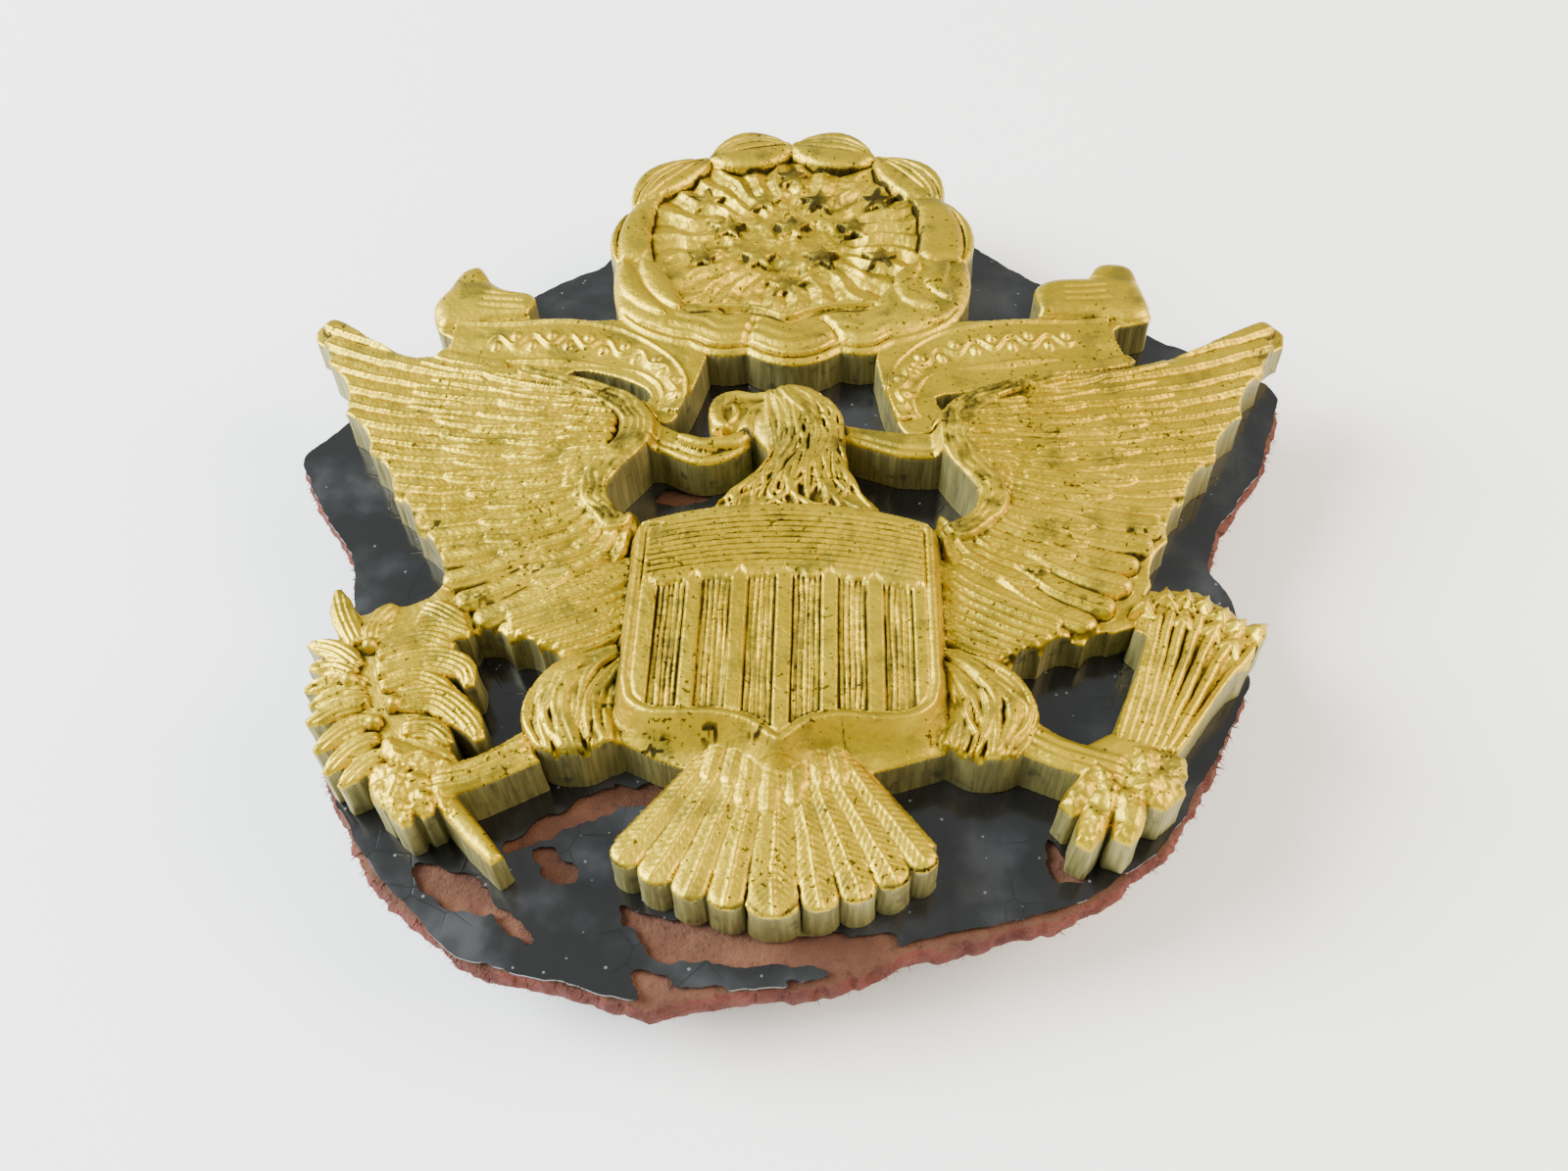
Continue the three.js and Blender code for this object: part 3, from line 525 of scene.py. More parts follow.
def raise_cloud(r):
    """The ring: puffed lobes, each a rim round an almond lens, ropes at its sides, creases in front."""
    outer = chain(CLOUD_NOTCHES, CLOUD_SWELL)
    lower = chain(LOWER_NOTCHES, LOWER_SWELL)
    inner = chain(CUSPS, CUSP_SWELL)
    base_line = spline([(5.1, 41.4), (3, 41.2), (1, 40.7), (-0.4, 40.1), (-2, 40.8), (-4, 41.1),
                        (-6.9, 40.9)], per=4)
    w, d = r.outline(np.vstack(outer[:-1] + lower[:-1]), "cloud_ring")
    x, y = r.x[w], r.y[w]
    soft = blur_mm(d, 0.15, r.step)
    lip = 2.5 + 0.2 * bell(soft, -0.35, 0.2) - 0.22 * bell(soft, -0.75, 0.13)
    lens = 0.4 * np.sqrt(np.clip(1 - ((soft + 2.3) / 1.5) ** 2, 0, 1))
    lens = lens + 0.035 * wave(soft + 0.12 * speckle(x, y / 2, 2.0, 22), 0.8)
    r.lift(w, lip + np.where(soft < -0.8, lens, 0), d < 0.3)
    field = polygon_distance(x, y, np.vstack(inner[:-1] + [base_line[:-1]]))
    raise_field(r, w, field)
    for crease in ([(-2.8, 37.1), (-2.75, 38.4), (-2.2, 40.2)], [(3.0, 37.3), (2.7, 38.6), (1.6, 40.2)]):
        groove(r, crease, 0.2, 0.3)
    pods = (
        ([(-11.75, 45.4), (-11.5, 43), (-11.1, 40.6), (-9.8, 39.5), (-8, 38.9), (-7.0, 39.6), (-6.9, 41),
          (-7.6, 43), (-9.3, 45.4)],
         [[(-11.2, 45.0), (-10.4, 42.4), (-8.2, 40.0)], [(-10.0, 45.2), (-8.9, 43.0), (-7.3, 40.6)]]),
        ([(11.25, 45.4), (11.2, 43.5), (10.6, 41), (9.6, 39.9), (8, 39.2), (6.8, 38.9), (5.6, 39.8),
          (5.1, 41.4), (6.3, 43.2), (7.9, 45.2)],
         [[(8.2, 45.0), (7.2, 43.4), (7.5, 41.6), (9.0, 40.6)], [(9.9, 45.1), (9.1, 43.2), (9.8, 41.5)]]),
    )
    for pod, ropes in pods:
        pillow(r, np.array(pod, float), 2.6, 0.35, 1.1)
        for rope in ropes:
            strand(r, rope, 1.5, 2.85, 0.34, taper=0.2)
    for k, swell in list(enumerate(CLOUD_SWELL))[1:-1]:
        lobe = np.vstack([outer[k], outer[k + 1][:1], inner[k + 1][:1], inner[k][::-1]])
        pillow(r, lobe, 2.5, 0.35, 0.5)
        ends = np.array(CLOUD_NOTCHES[k:k + 2], float)
        ends += (np.array(CUSPS[k:k + 2]) - ends) * 0.12
        rim = arcs(ends, -0.62 * swell)
        corners_in = [inner[k + 1][:1] * 0.7 + rim[-1] * 0.3, inner[k][:1] * 0.7 + rim[:1] * 0.3]
        lens = np.vstack([rim, corners_in[0], inner[k][:0:-1], corners_in[1]])
        # The grooves below darken with painted shade: round each lens, across the big lobes and along each
        # lobe's inner edge.
        groove(r, rim, 0.15, 0.22, grime_and_shade=0.35)
        pillow(r, lens, 2.72, 0.42, 0.9)
        if swell > 0.25:
            middle = ends + (np.array(CUSPS[k:k + 2]) - ends) * 0.3
            groove(r, arcs(middle, -0.42 * swell), 0.14, 0.2, grime_and_shade=0.5)
            groove(r, arcs(middle, -0.08 * swell), 0.14, 0.16, grime_and_shade=0.4)
        groove(r, inner[k], 0.16, 0.1, grime_and_shade=0.75)
    # Painted shade in the groove under the front band, where the field meets the lens.
    groove(r, base_line[::3] - (0, 0.55), 0.2, 0.2, grime_and_shade=0.75)
    strand(r, base_line[::3], 0.42, 2.55, 0.34, taper=0.8)


# ---- scrolls with a running vine where the lettering of the original stands

SCROLL = {
    -1: [(-22.4, 38.9), (-23, 41), (-22.2, 42.9), (-21.9, 44), (-21.3, 44.7), (-20.6, 44.8),
         (-19.9, 43.7), (-18.5, 42.7), (-16.9, 42.2), (-16.5, 41.3), (-16.6, 39.9), (-13, 39.9),
         (-10, 39.9), (-7, 38.6), (-5.4, 37.0), (-5.4, 36), (-5.9, 33.8), (-6.7, 31.4), (-7.6, 30.9),
         (-8.8, 32), (-8.4, 33.1), (-9.1, 34), (-11, 34.9), (-13.3, 35.3), (-15, 34.2), (-21, 35.6),
         (-22, 36.2), (-21.7, 37), (-21.4, 38.1)],
    1: [(15.4, 40.2), (15.3, 42.3), (15.9, 43.3), (17, 43.8), (18.9, 44), (19.5, 44.9), (20.3, 45.3),
        (21.4, 45.1), (21.9, 44.4), (22.5, 40.4), (21.4, 39.6), (20, 39.1), (20.3, 37), (20.5, 35.5),
        (15, 34.4), (13.4, 34.2), (11, 33.6), (8.7, 33.1), (9.3, 31.4), (8.5, 30.4), (7.2, 30),
        (6.5, 30.6), (5.8, 32.8), (5.4, 35), (5.3, 37), (7, 38.6), (10, 39.8), (13, 40)],
}
BAND = {
    -1: [(-21.3, 37.8), (-17, 37.75), (-13, 37.6), (-10.4, 37.0), (-8.5, 35.9), (-7.3, 34.5), (-6.9, 33),
         (-7.2, 31.8)],
    1: [(19.8, 38.2), (16, 38.0), (12, 37.5), (9.3, 36.9), (7.6, 35.7), (6.8, 34.2), (6.7, 32.6),
        (7.1, 31.2)],
}


def raise_scroll(r, side, region):
    """A scroll: a ribbon with raised borders and a running vine, tucked behind the ribbon in the beak."""
    w, d = r.outline(spline(SCROLL[side], True, per=3), region)
    r.lift(w, 2.5, d < 0.3)
    band = spline(BAND[side], per=6)
    wide = (1.9, 1.85, 1.95, 2.0, 1.9, 1.3, 0.95, 0.7)
    body = strip(band, wide)
    w, inside = r.around(body, 0.1)
    v, u = follow(r.x[w], r.y[w], band)
    half = np.interp(u / u.max(), np.linspace(0, 1, len(wide)), wide)
    across = v / half * side
    dip = 0.25 * ease(0.2, -1, -across) + 0.12 * np.sin(2 * np.pi * u / 9)
    border = 0.16 * bell((np.abs(across) - 0.86) * half, 0, 0.13)
    r.lift(w, 2.72 - dip + border, inside < 0)
    vine = 0.42 * np.sin(2 * np.pi * u / 2.3)
    ornament = bell(v, vine * half / 1.9, 0.17) * (np.abs(across) < 0.7)
    leaf_u = np.mod(u, 1.15) - 0.575
    leaf_v = v + np.where(np.mod(u, 2.3) < 1.15, 1, -1) * 0.42 * half / 1.9
    bead = np.clip(1 - (leaf_u / 0.3) ** 2 - (leaf_v / 0.42) ** 2, 0, 1) ** 0.5
    show = ease(2.2, 2.8, u) * ease(0.5, 1.2, u.max() - u) * (inside < -0.3)
    r.h[w] += 0.22 * np.maximum(ornament, bead) * show


ROLL = {
    -1: [(-22.3, 39), (-23, 41), (-22.2, 42.9), (-21.7, 43.4), (-19.9, 43.3), (-18.5, 42.6),
         (-16.9, 42.2), (-16.5, 41.3), (-16.7, 40.1), (-19, 39.9), (-21, 39.2)],
    1: [(15.5, 40.4), (15.3, 42.3), (15.9, 43.3), (17, 43.7), (19, 43.8), (21.6, 43.9), (22.4, 40.5),
        (21.2, 39.7), (19.6, 40), (17, 40.3)],
}
KNOB = {
    -1: [(-22.2, 42.4), (-21.9, 44), (-21.3, 44.7), (-20.6, 44.8), (-19.9, 43.7), (-20.3, 42.7)],
    1: [(19, 43.6), (19.5, 44.9), (20.3, 45.2), (21.4, 45), (21.9, 44.3), (21.8, 42.8), (20.4, 42)],
}


def roll_up(r, side):
    """The rolled end of a scroll: a lying tube with a spiral knob at its outer end."""
    pillow(r, spline(ROLL[side], True, per=4), 2.45, 0.6, 1.0)
    pillow(r, spline(KNOB[side], True, per=4), 2.5, 0.5, 0.9)
    y = 41.1 if side < 0 else 41.9
    for k in range(3):
        line = [(16.9, y + 0.55 * k - 0.5), (18.4, y + 0.6 * k - 0.5), (20.3, y + 0.62 * k - 0.35)]
        groove(r, sided(line, side), 0.13, 0.1)


# ---- head, neck and the ribbon that it holds

def raise_head(r):
    """The head in profile: neck strands fan out downwards, the beak curls over and holds a ribbon."""
    neck = [(-1, 33), (0, 33.2), (1.3, 32.9), (2.3, 32.1), (3, 31), (3.3, 29.8), (3.3, 28), (3.6, 26.6),
            (4.3, 25), (5.3, 23.6), (5, 22), (-4, 22), (-4.2, 23.8), (-2.8, 25.2), (-1.7, 26.4),
            (-1.1, 27.8), (-1.8, 29), (-2.4, 30), (-2.2, 31.4), (-1.6, 32.4)]
    beak = [(-2.6, 29.8), (-4.4, 29.6), (-4.7, 30.8), (-4.6, 31.8), (-4.1, 32.4), (-3.2, 32.7),
            (-2.2, 32.5), (-1, 32.5), (-0.6, 31), (-1.4, 29.6)]
    left = [(-8.6, 31), (-7.6, 30.6), (-6, 29.7), (-4.9, 29.3), (-4.4, 29.4), (-3.6, 29.6), (-2.4, 29.4),
            (-2.2, 28.9), (-3.0, 28.1), (-4.1, 27.5), (-5.2, 27.4), (-6.3, 27.8), (-7.4, 28.4),
            (-8.6, 28.6)]
    right = [(3.0, 30.5), (4.4, 30.3), (6.2, 30), (7.4, 29.9), (9, 29.8), (9, 28.2), (7.6, 28),
             (6.4, 28.1), (5, 28.6), (3.1, 29.4)]
    for shape, base, crown, radius in ((left, 2.5, 0.3, 0.25), (right, 2.5, 0.3, 0.25), (beak, 2.7, 0.4, 0.5),
                                       (neck, 2.7, 0.75, 1.6)):
        pillow(r, spline(shape, True, per=4), base, crown, radius, "head")
    groove(r, [(-8.4, 29.3), (-6.6, 28.6), (-5.0, 28.0), (-3.6, 28.4)], 0.1, 0.14)
    groove(r, [(3.4, 29.8), (5, 29.2), (6.6, 28.7), (8.6, 28.6)], 0.1, 0.14)
    hook = [(-0.6, 32.5), (-2.2, 32.6), (-3.7, 32.3), (-4.3, 31.4), (-4.2, 30.4), (-3.8, 30.0)]
    jaw = [(-1.0, 32.0), (-1.9, 31.5), (-2.3, 30.5), (-2.5, 29.6), (-3.3, 28.9), (-4.8, 28.7), (-6.2, 29.2)]
    strand(r, hook, 1.15, 2.95, 0.5, taper=0.7)
    strand(r, [(-3.5, 30.3), (-3.1, 31.0), (-3.3, 31.7), (-3.7, 31.5)], 0.5, 2.9, 0.4, taper=0.5)
    strand(r, jaw, 0.95, 2.9, 0.4, taper=0.6)
    throat = [(-1.4, 32.2), (-1.3, 30.6), (-1.0, 28.4), (-1.6, 26.6), (-2.8, 25.0), (-4.2, 23.6)]
    nape = [(0.6, 33.2), (2.6, 32.0), (3.2, 29.8), (3.3, 27.4), (4.0, 25.2), (5.3, 23.4)]
    locks(r, throat, nape, 170, 0.35, 3.14, 0.4, 0.26, 11, length=0.38)
    w = r.window([(-4, 23), (5, 33)], 0)
    r.add_stain_and_shade(w, (0.2 + 0.25 * ease(0, 0.6, r.noise(w, 1.0, 57))) * (r.h[w] > 2.7))


# ---- shield

def raise_shield(r):
    """The shield: a raised plate with sloping sides, an arched ribbed chief, upright plain and lined bars."""
    top = [(-7.75, 21.3), (-7.2, 21.7), (-4, 22.5), (0, 22.8), (4, 22.5), (7.2, 21.7), (7.85, 21.3)]
    foot = [(7.85, 11.6), (7.5, 10.3), (6.3, 9.45), (4.6, 9.35), (3, 9.45), (1.5, 9.1), (0.5, 8.3),
            (0.1, 8.05), (-0.4, 8.3), (-1.5, 9.1), (-3, 9.5), (-4.6, 9.5), (-6.3, 9.6), (-7.4, 10.4),
            (-7.75, 11.6)]
    face = np.vstack([spline(top, per=4), spline(foot, per=4)])
    skirt = [(-8.7, 21.6), (-7.2, 23), (-4, 23.7), (0, 24), (4, 23.7), (7.2, 23), (8.8, 21.6), (8.8, 12),
             (8.6, 9.2), (8.1, 8.6), (6, 7.9), (3.9, 7.3), (3.2, 6.4), (-3.2, 6.4), (-3.9, 7.4),
             (-6, 8.1), (-7.7, 8.9), (-8.5, 9.4), (-8.7, 12)]
    w, d = r.outline(np.array(skirt, float), "shield")
    x, y = r.x[w], r.y[w]
    out = polygon_distance(x, y, face)
    low = ease(11.5, 9.5, y)
    reach = 0.75 + 0.95 * low
    slope = np.clip(1 - out / reach, 0, 1)
    r.lift(w, 2.55 + 1.85 * slope ** (1.1 + 0.9 * low), (d < 0.3) & (out < reach + 0.3))
    plate = 4.3 + 0.16 * (1 - (x / 8) ** 2)
    hem = 18.05 - 0.018 * x**2
    teeth = 0.12 * speckle(x, y, 0.45, 5)
    period = 2.33
    across = np.mod(x - 0.12 + period / 2, period) - period / 2
    plain = ease(0.46, 0.36, np.abs(across))
    lined_bars = (1 - plain) * (y < hem) * (out < -0.5)
    waver = 0.05 * speckle(x * 2, y / 2, 1.0, 13)
    ribs = 0.5 + 0.5 * wave(np.abs(across) + waver - 0.6, 0.29)
    uneven = 0.5 + 0.5 * speckle(x * 3, y / 3, 1.0, 12)
    r.add_stain_and_shade(w, 0.36 * (lined_bars * ease(0.55, 0.15, ribs * (0.7 + 0.3 * uneven))))
    r.add_stain_and_shade(w, lined_bars * 0.4 * ease(0, 0.7, speckle(x * 7, y / 2, 1, 14)))
    for px, py, size in ((-6.0, 8.6, 0.9), (-3.3, 9.0, 0.7), (-1.0, 8.7, 0.5), (-8.4, 10.6, 0.5)):
        spot = ease(1.3 * size, 0.3 * size, np.hypot(x - px, 1.8 * (y - py)))
        r.add_stain_and_shade(w, spot * ease(-0.05, 0.25, speckle(x, y, 0.2, 15)))
    bars = 0.08 * plain + (1 - plain) * (-0.2 + 0.19 * ribs * uneven)
    pales = plate - 0.02 + bars
    rib = 0.5 + 0.5 * wave(y + 0.0178 * x**2 - 22.5, 0.37)
    lined = ease(-0.05, 0.05, y - (hem + 0.55)) * (out < -0.5)
    chief = plate + 0.18 + (0.15 * rib - 0.05) * lined - 0.08 * ease(0.5, -0.1, y - hem)
    ragged = 0.75 + 0.4 * speckle(x / 3, y * 2, 0.6, 16)
    r.add_stain_and_shade(w, lined * (0.26 * ragged * ease(0.35, 0.05, rib)))
    point = 0.5 * np.clip(1 - np.abs(across) / 0.45, 0, 1) + 0.15 * speckle(x * 3, y, 0.5, 17)
    body = pales + (chief - pales) * ease(-0.2, 0.16, y - hem - teeth - point)
    rim = 0.42
    border = plate + 0.1 - 0.14 * bell(out, -rim, 0.09)
    framed = np.where((out > -rim - 0.1) & (y < 21.4), border, body)
    r.h[w] = np.where(out < 0, framed, r.h[w])


# ---- thighs, legs and tail

def raise_thighs(r):
    """Feathered thighs: long strands fan outwards and down from beside the shield to a band of leg."""
    for side in (-1, 1):
        shape = sided([(8, 14.6), (9.6, 14), (11, 13.6), (12, 12.6), (12.6, 11.3), (12.7, 10), (12.3, 8.9),
                       (11.2, 8.1), (9.6, 8), (8.4, 8.6), (7.6, 9.2), (7.6, 12)], side)
        region = "branch" if side < 0 else "arrows"
        pillow(r, spline(shape, True, per=4), 2.6, 0.6, 1.2, region)
        inner = sided([(8.0, 13.0), (8.3, 11.0), (8.2, 9.4), (7.9, 8.3)], side)
        outer = sided([(8.4, 14.5), (10.6, 13.9), (12.4, 12.2), (12.6, 10.2), (11.6, 8.0)], side)
        locks(r, inner, outer, 64, 0.5, 2.85, 0.34, 0.32, 20 + side, length=0.6)
        w = r.window(shape, 0)
        worn = 0.1 + 0.28 * ease(0.1, 0.7, r.noise(w, 1.0, 58))
        r.add_stain_and_shade(w, worn * (polygon_distance(r.x[w], r.y[w], shape) < 0))
    leg_left = [(-12.0, 8.6), (-13.4, 7.7), (-15, 6.9), (-16.6, 6.6)]
    leg_right = [(12.0, 9.5), (13.4, 8.7), (15, 8.1), (16.6, 7.6)]
    blade(r, leg_left, 2.0, 2.75, 2.8, 0.35, 0.5, 0.05, (1, 0.9, 0.85, 0.9, 1), "branch")
    blade(r, leg_right, 2.1, 2.75, 2.8, 0.35, 0.5, 0.05, (1, 0.85, 0.8, 0.9, 1), "arrows")


def raise_tail(r):
    """The tail: nine feathers in a fan, each a wedge with a round end, under two rows of short scales."""
    hub = np.array([0, 12.75])
    marks = [-39.2, -31.4, -23, -14.6, -6, 6, 14.6, 23, 31.4, 38.6]
    for k, (a, b) in enumerate(zip(marks[:-1], marks[1:])):
        middle = math.radians((a + b) / 2)
        half = math.radians((b - a) / 2)
        aim = np.array([math.sin(middle), -math.cos(middle)])
        side = np.array([math.cos(middle), math.sin(middle)])
        reach = 12.72 if k == 4 else 12.55
        wide = 2 * 11.9 * math.tan(half)
        root = hub + aim * 3.6
        edge = [root + side * 3.7 * math.tan(half) * s for s in (-1, 1)]
        end = [hub + aim * (reach - 0.62 + 0.62 * math.cos(t)) + side * wide * 0.485 * math.sin(t)
               for t in np.linspace(np.pi / 2, -np.pi / 2, 9)]
        r.outline(np.array(edge + end), "tail")
        strong = 0.05 if k > 3 else 0.025
        lay_feather(r, root, hub + aim * reach, wide * 1.16, 2.72, 2.62, crown=0.16, barb=strong,
                    quill=0.08, taper=0.36)
    bed = np.array([(-3.4, 9), (-7.5, 3.8), (-6.9, 3.3), (0, 1.4), (6.9, 3.3), (7.5, 3.8), (3.4, 9)])
    pillow(r, bed, 2.5, 0.15, 0.4, "tail")
    for x, y in [(-3.3, 7.1), (-2.3, 6.9), (-1.1, 6.7), (0.1, 6.5), (1.2, 6.7), (2.3, 6.9), (3.2, 7.1),
                 (-1.6, 5.9), (-0.4, 5.4), (0.9, 5.8)]:
        lay_feather(r, (x * 0.82, y + 2.2), (x, y - 0.4), 1.05, 2.8, 2.72, crown=0.25, barb=0.03)


# ---- branch and arrows in the claws

def raise_branch(r):
    """The branch: long veined leaves on both sides of a stem, berries, a stem end and a rough claw."""
    body = [(-16.2, 15.9), (-17.9, 14.2), (-17.5, 12.6), (-17, 10.6), (-16, 8.6), (-15.4, 7.6),
            (-15.8, 6), (-16.6, 5), (-18.3, 5.2), (-19, 6.2), (-19.8, 7), (-21, 8), (-22, 10),
            (-22.8, 12.6), (-23.2, 14.8), (-22.8, 16.4), (-21.9, 16.9), (-21, 17.4), (-20, 17.4),
            (-18.9, 18), (-18.2, 18.8), (-17, 17.5)]
    pillow(r, spline(body, True, per=3), 2.25, 0.35, 1.5, "branch")
    leaves = [
        [(-19.0, 17.0), (-18.0, 16.6), (-16.6, 15.8)],
        [(-22.0, 14.6), (-23.1, 16.4), (-23.9, 18.2)],
        [(-21.2, 14.5), (-21.2, 16.0), (-20.6, 17.3)],
        [(-21.5, 13.2), (-23.0, 14.2), (-24.6, 14.7)],
        [(-21.0, 12.2), (-22.6, 12.3), (-24.1, 11.8)],
        [(-20.6, 11.2), (-22.1, 10.7), (-23.5, 9.8)],
        [(-20.0, 10.0), (-21.4, 9.5), (-22.7, 8.2)],
        [(-19.6, 9.0), (-20.8, 8.4), (-21.9, 7.0)],
        [(-18.9, 8.2), (-20.0, 7.6), (-21.0, 6.3)],
        [(-21.0, 14.6), (-18.5, 15.9), (-16.2, 15.4)],
        [(-20.6, 12.9), (-18.0, 13.7), (-16.2, 13.2), (-15.7, 12.1)],
        [(-19.6, 10.9), (-17.4, 11.4), (-15.6, 10.3), (-14.6, 9.0)],
        [(-18.6, 9.5), (-17.2, 9.6), (-16.0, 8.8)],
        [(-20.8, 13.9), (-18.8, 15.0), (-16.9, 14.6)],
        [(-20.2, 11.9), (-18.2, 12.5), (-16.0, 11.4)],
        [(-21.6, 12.7), (-22.8, 13.2), (-24.2, 13.2)],
        [(-20.9, 11.6), (-22.2, 11.5), (-23.6, 10.8)],
    ]
    widths = (1.7, 1.35, 1.4, 1.3, 1.3, 1.3, 1.3, 1.2, 1.2, 1.9, 1.8, 1.8, 1.3, 1.4, 1.3, 1.2, 1.2)
    for k, (leaf, width) in enumerate(zip(leaves, widths)):
        low = 2.7 + 0.05 * (k % 4)
        blade(r, leaf, width, low, 2.55, 0.25, 0.3, 0.06, (0.5, 0.95, 1, 0.85, 0.3), "branch")
    for x, y in [(-21.8, 12.3), (-21.2, 14.4), (-19.2, 10.9), (-20, 9.8), (-18.9, 8.5)]:
        berry = strip([(x - 0.45, y), (x + 0.45, y)], (0.1, 0.4, 0.45, 0.4, 0.1))
        pillow(r, berry, 2.85, 0.5, 0.45)
    stem = [(-17.8, 8.0), (-15.4, 5.3), (-12.75, 2.6)]
    blade(r, stem, 1.0, 2.75, 2.5, 0.3, 0.0, 0.0, (0.9, 1, 1, 1, 0.7), "branch")
    toes = [
        [(-18.9, 7.4), (-18.8, 6.4), (-18.3, 5.1)],
        [(-18.2, 7.2), (-18.0, 5.8), (-17.2, 4.2)],
        [(-17.4, 7.0), (-16.9, 5.8), (-16.3, 4.7)],
        [(-19.2, 8.4), (-17.4, 7.6), (-15.4, 7.1)],
    ]
    for k, toe in enumerate(toes):
        blade(r, toe, 1.35, 2.9 + 0.1 * (k % 2), 2.7, 0.5, 0.0, 0.0, (0.7, 1, 1, 0.95, 0.4), "branch")
    roughen(r, np.array([(-19.6, 8.6), (-15, 8.6), (-15, 3.8), (-19.6, 3.8)]), 0.5, 0.13, 61)


def raise_arrows(r):
    """The arrows: fanned shafts, barbed heads in a rounded row, and a knuckled claw that grips them."""
    bundle = [(16.1, 9.4), (17, 11.5), (17.8, 13.1), (18.6, 15.3), (18.1, 15.9), (18.6, 17.2),
              (19.4, 18.8), (20, 18.6), (20.4, 18.8), (21, 18.7), (21.8, 18.7), (22.5, 18), (23.4, 17.4),
              (23.8, 16.7), (24.2, 15.6), (23.9, 14.4), (23.6, 13.8), (22.8, 13.3), (22, 12.4), (21, 11),
              (20, 9.6), (19.1, 8.4), (17.4, 7.6), (16, 8)]
    pillow(r, np.array(bundle, float), 2.4, 0.25, 1.0, "arrows")
    for k in range(8):
        s = k / 7
        foot = np.array([16.5 + 2.6 * s, 9.4 - 0.6 * s])
        head = np.array([18.9 + 5.0 * s**1.1, 16.4 + 0.9 * math.sin(np.pi * s) - 1.6 * s**2])
        strand(r, [foot, (foot + head) / 2, head], 0.62, 2.5, 0.5, taper=0.95)
    heads = [(19.1, 18.3, 72), (20.2, 18.8, 78), (21.3, 18.7, 70), (22.3, 18.3, 58), (23.2, 17.5, 48),
             (24.0, 16.8, 42), (25.0, 16.5, 40), (18.3, 16.2, 100), (21, 17.2, 70), (22.4, 16.6, 60),
             (23.4, 15.6, 50)]
    outer_row = 7
    for k, (x, y, turn) in enumerate(heads):
        a = math.radians(turn)
        aim, side = np.array([math.cos(a), math.sin(a)]), np.array([-math.sin(a), math.cos(a)])
        tip = np.array([x, y])
        size = 1.0 if k < outer_row else 0.85
        shoulder, barb = tip - aim * 0.7 * size, tip - aim * 1.6 * size
        points = np.array([tip, shoulder + side * 0.5, barb + side * 0.68, tip - aim * 1.3 * size,
                           barb - side * 0.68, shoulder - side * 0.5])
        w, d = r.outline(points, "arrows") if k < outer_row else r.around(points, 0)
        r.lift(w, 2.75 - 0.9 * np.maximum(d, -0.5), d < 0)
    toes = [
        [(15.6, 7.6), (14.6, 6.5), (13.5, 5.5)],
        [(15.8, 7.0), (15.0, 5.4), (14.1, 3.6)],
        [(16.6, 6.6), (16.4, 5.2), (15.9, 3.9)],
        [(17.0, 7.4), (17.9, 6.9), (18.7, 6.0)],
        [(17.0, 8.2), (18.4, 7.9), (19.5, 7.8)],
    ]
    palm = [(14.6, 8.9), (16.2, 9.8), (18.4, 9.2), (18.6, 6.9), (16.8, 5.8), (15, 6)]
    pillow(r, np.array(palm, float), 2.65, 0.35, 0.6, "arrows")
    for toe, width in zip(toes, (1.35, 1.4, 1.5, 2.4, 1.6)):
        blade(r, toe, width, 2.95, 2.65, 0.55, 0.0, 0.0, (0.8, 1, 1, 0.95, 0.6), "arrows")
    roughen(r, np.array([(12.6, 8.6), (19.8, 8.6), (19.8, 3), (12.6, 3)]), 0.6, 0.12, 71)


def height_map(step):
    """The whole striking as a relief."""
    r = Relief(step)
    raise_branch(r)
    raise_arrows(r)
    for side, name in ((-1, "left"), (1, "right")):
        raise_wing(r, side, "wing_" + name)
        raise_scroll(r, side, "scroll_" + name)
        roll_up(r, side)
    raise_cloud(r)
    raise_head(r)
    raise_tail(r)
    raise_thighs(r)
    raise_shield(r)
    r.grow_edge()
    return r


# ---------------------------------------------------------------- surfaces from grids and turned profiles

def box_blur(field, cells):
    """The mean over a square of the given half width, by running sums along both axes."""
    for axis in (0, 1):
        width = 2 * cells + 1
        pad = [(cells + 1, cells) if k == axis else (0, 0) for k in (0, 1)]
        total = np.cumsum(np.pad(field, pad, mode="edge"), axis)
        high = np.take(total, np.arange(width, total.shape[axis]), axis)
        low = np.take(total, np.arange(0, total.shape[axis] - width), axis)
        field = (high - low) / width
    return field


def blur_mm(field, radius, step):
    """A box blur whose half width is given in millimetres."""
    return box_blur(field, max(int(radius / step), 1))


def placed(verts):
    """Points of the drawing, in millimetres, as points of the frame, in metres."""
    verts = verts * MM
    verts[:, 1] += SHIFT_Y * MM
    return verts


def new_object(name, data):
    """An object in the scene, made from a mesh, camera or lamp."""
    thing = bpy.data.objects.new(name, data)
    bpy.context.scene.collection.objects.link(thing)
    return thing


def smooth(mesh, sharp):
    """Shades a mesh smooth, but for edges that turn by more than the given angle in degrees."""
    mesh.polygons.foreach_set("use_smooth", np.ones(len(mesh.polygons), bool))
    mesh.set_sharp_from_angle(angle=math.radians(sharp))


def close_under(mesh):
    """Closes a mesh's open lower rim with a flat underside in the wall's material."""
    bm = bmesh.new()
    bm.from_mesh(mesh)
    bm.edges.ensure_lookup_table()
    hem = [e for e in bm.edges if e.is_boundary]
    filled = bmesh.ops.triangle_fill(bm, edges=hem, use_beauty=False, use_dissolve=False)
    for face in filled["geom"]:
        if isinstance(face, bmesh.types.BMFace):
            face.material_index = 1
            if face.normal.z > 0:
                face.normal_flip()
    bm.to_mesh(mesh)
    bm.free()


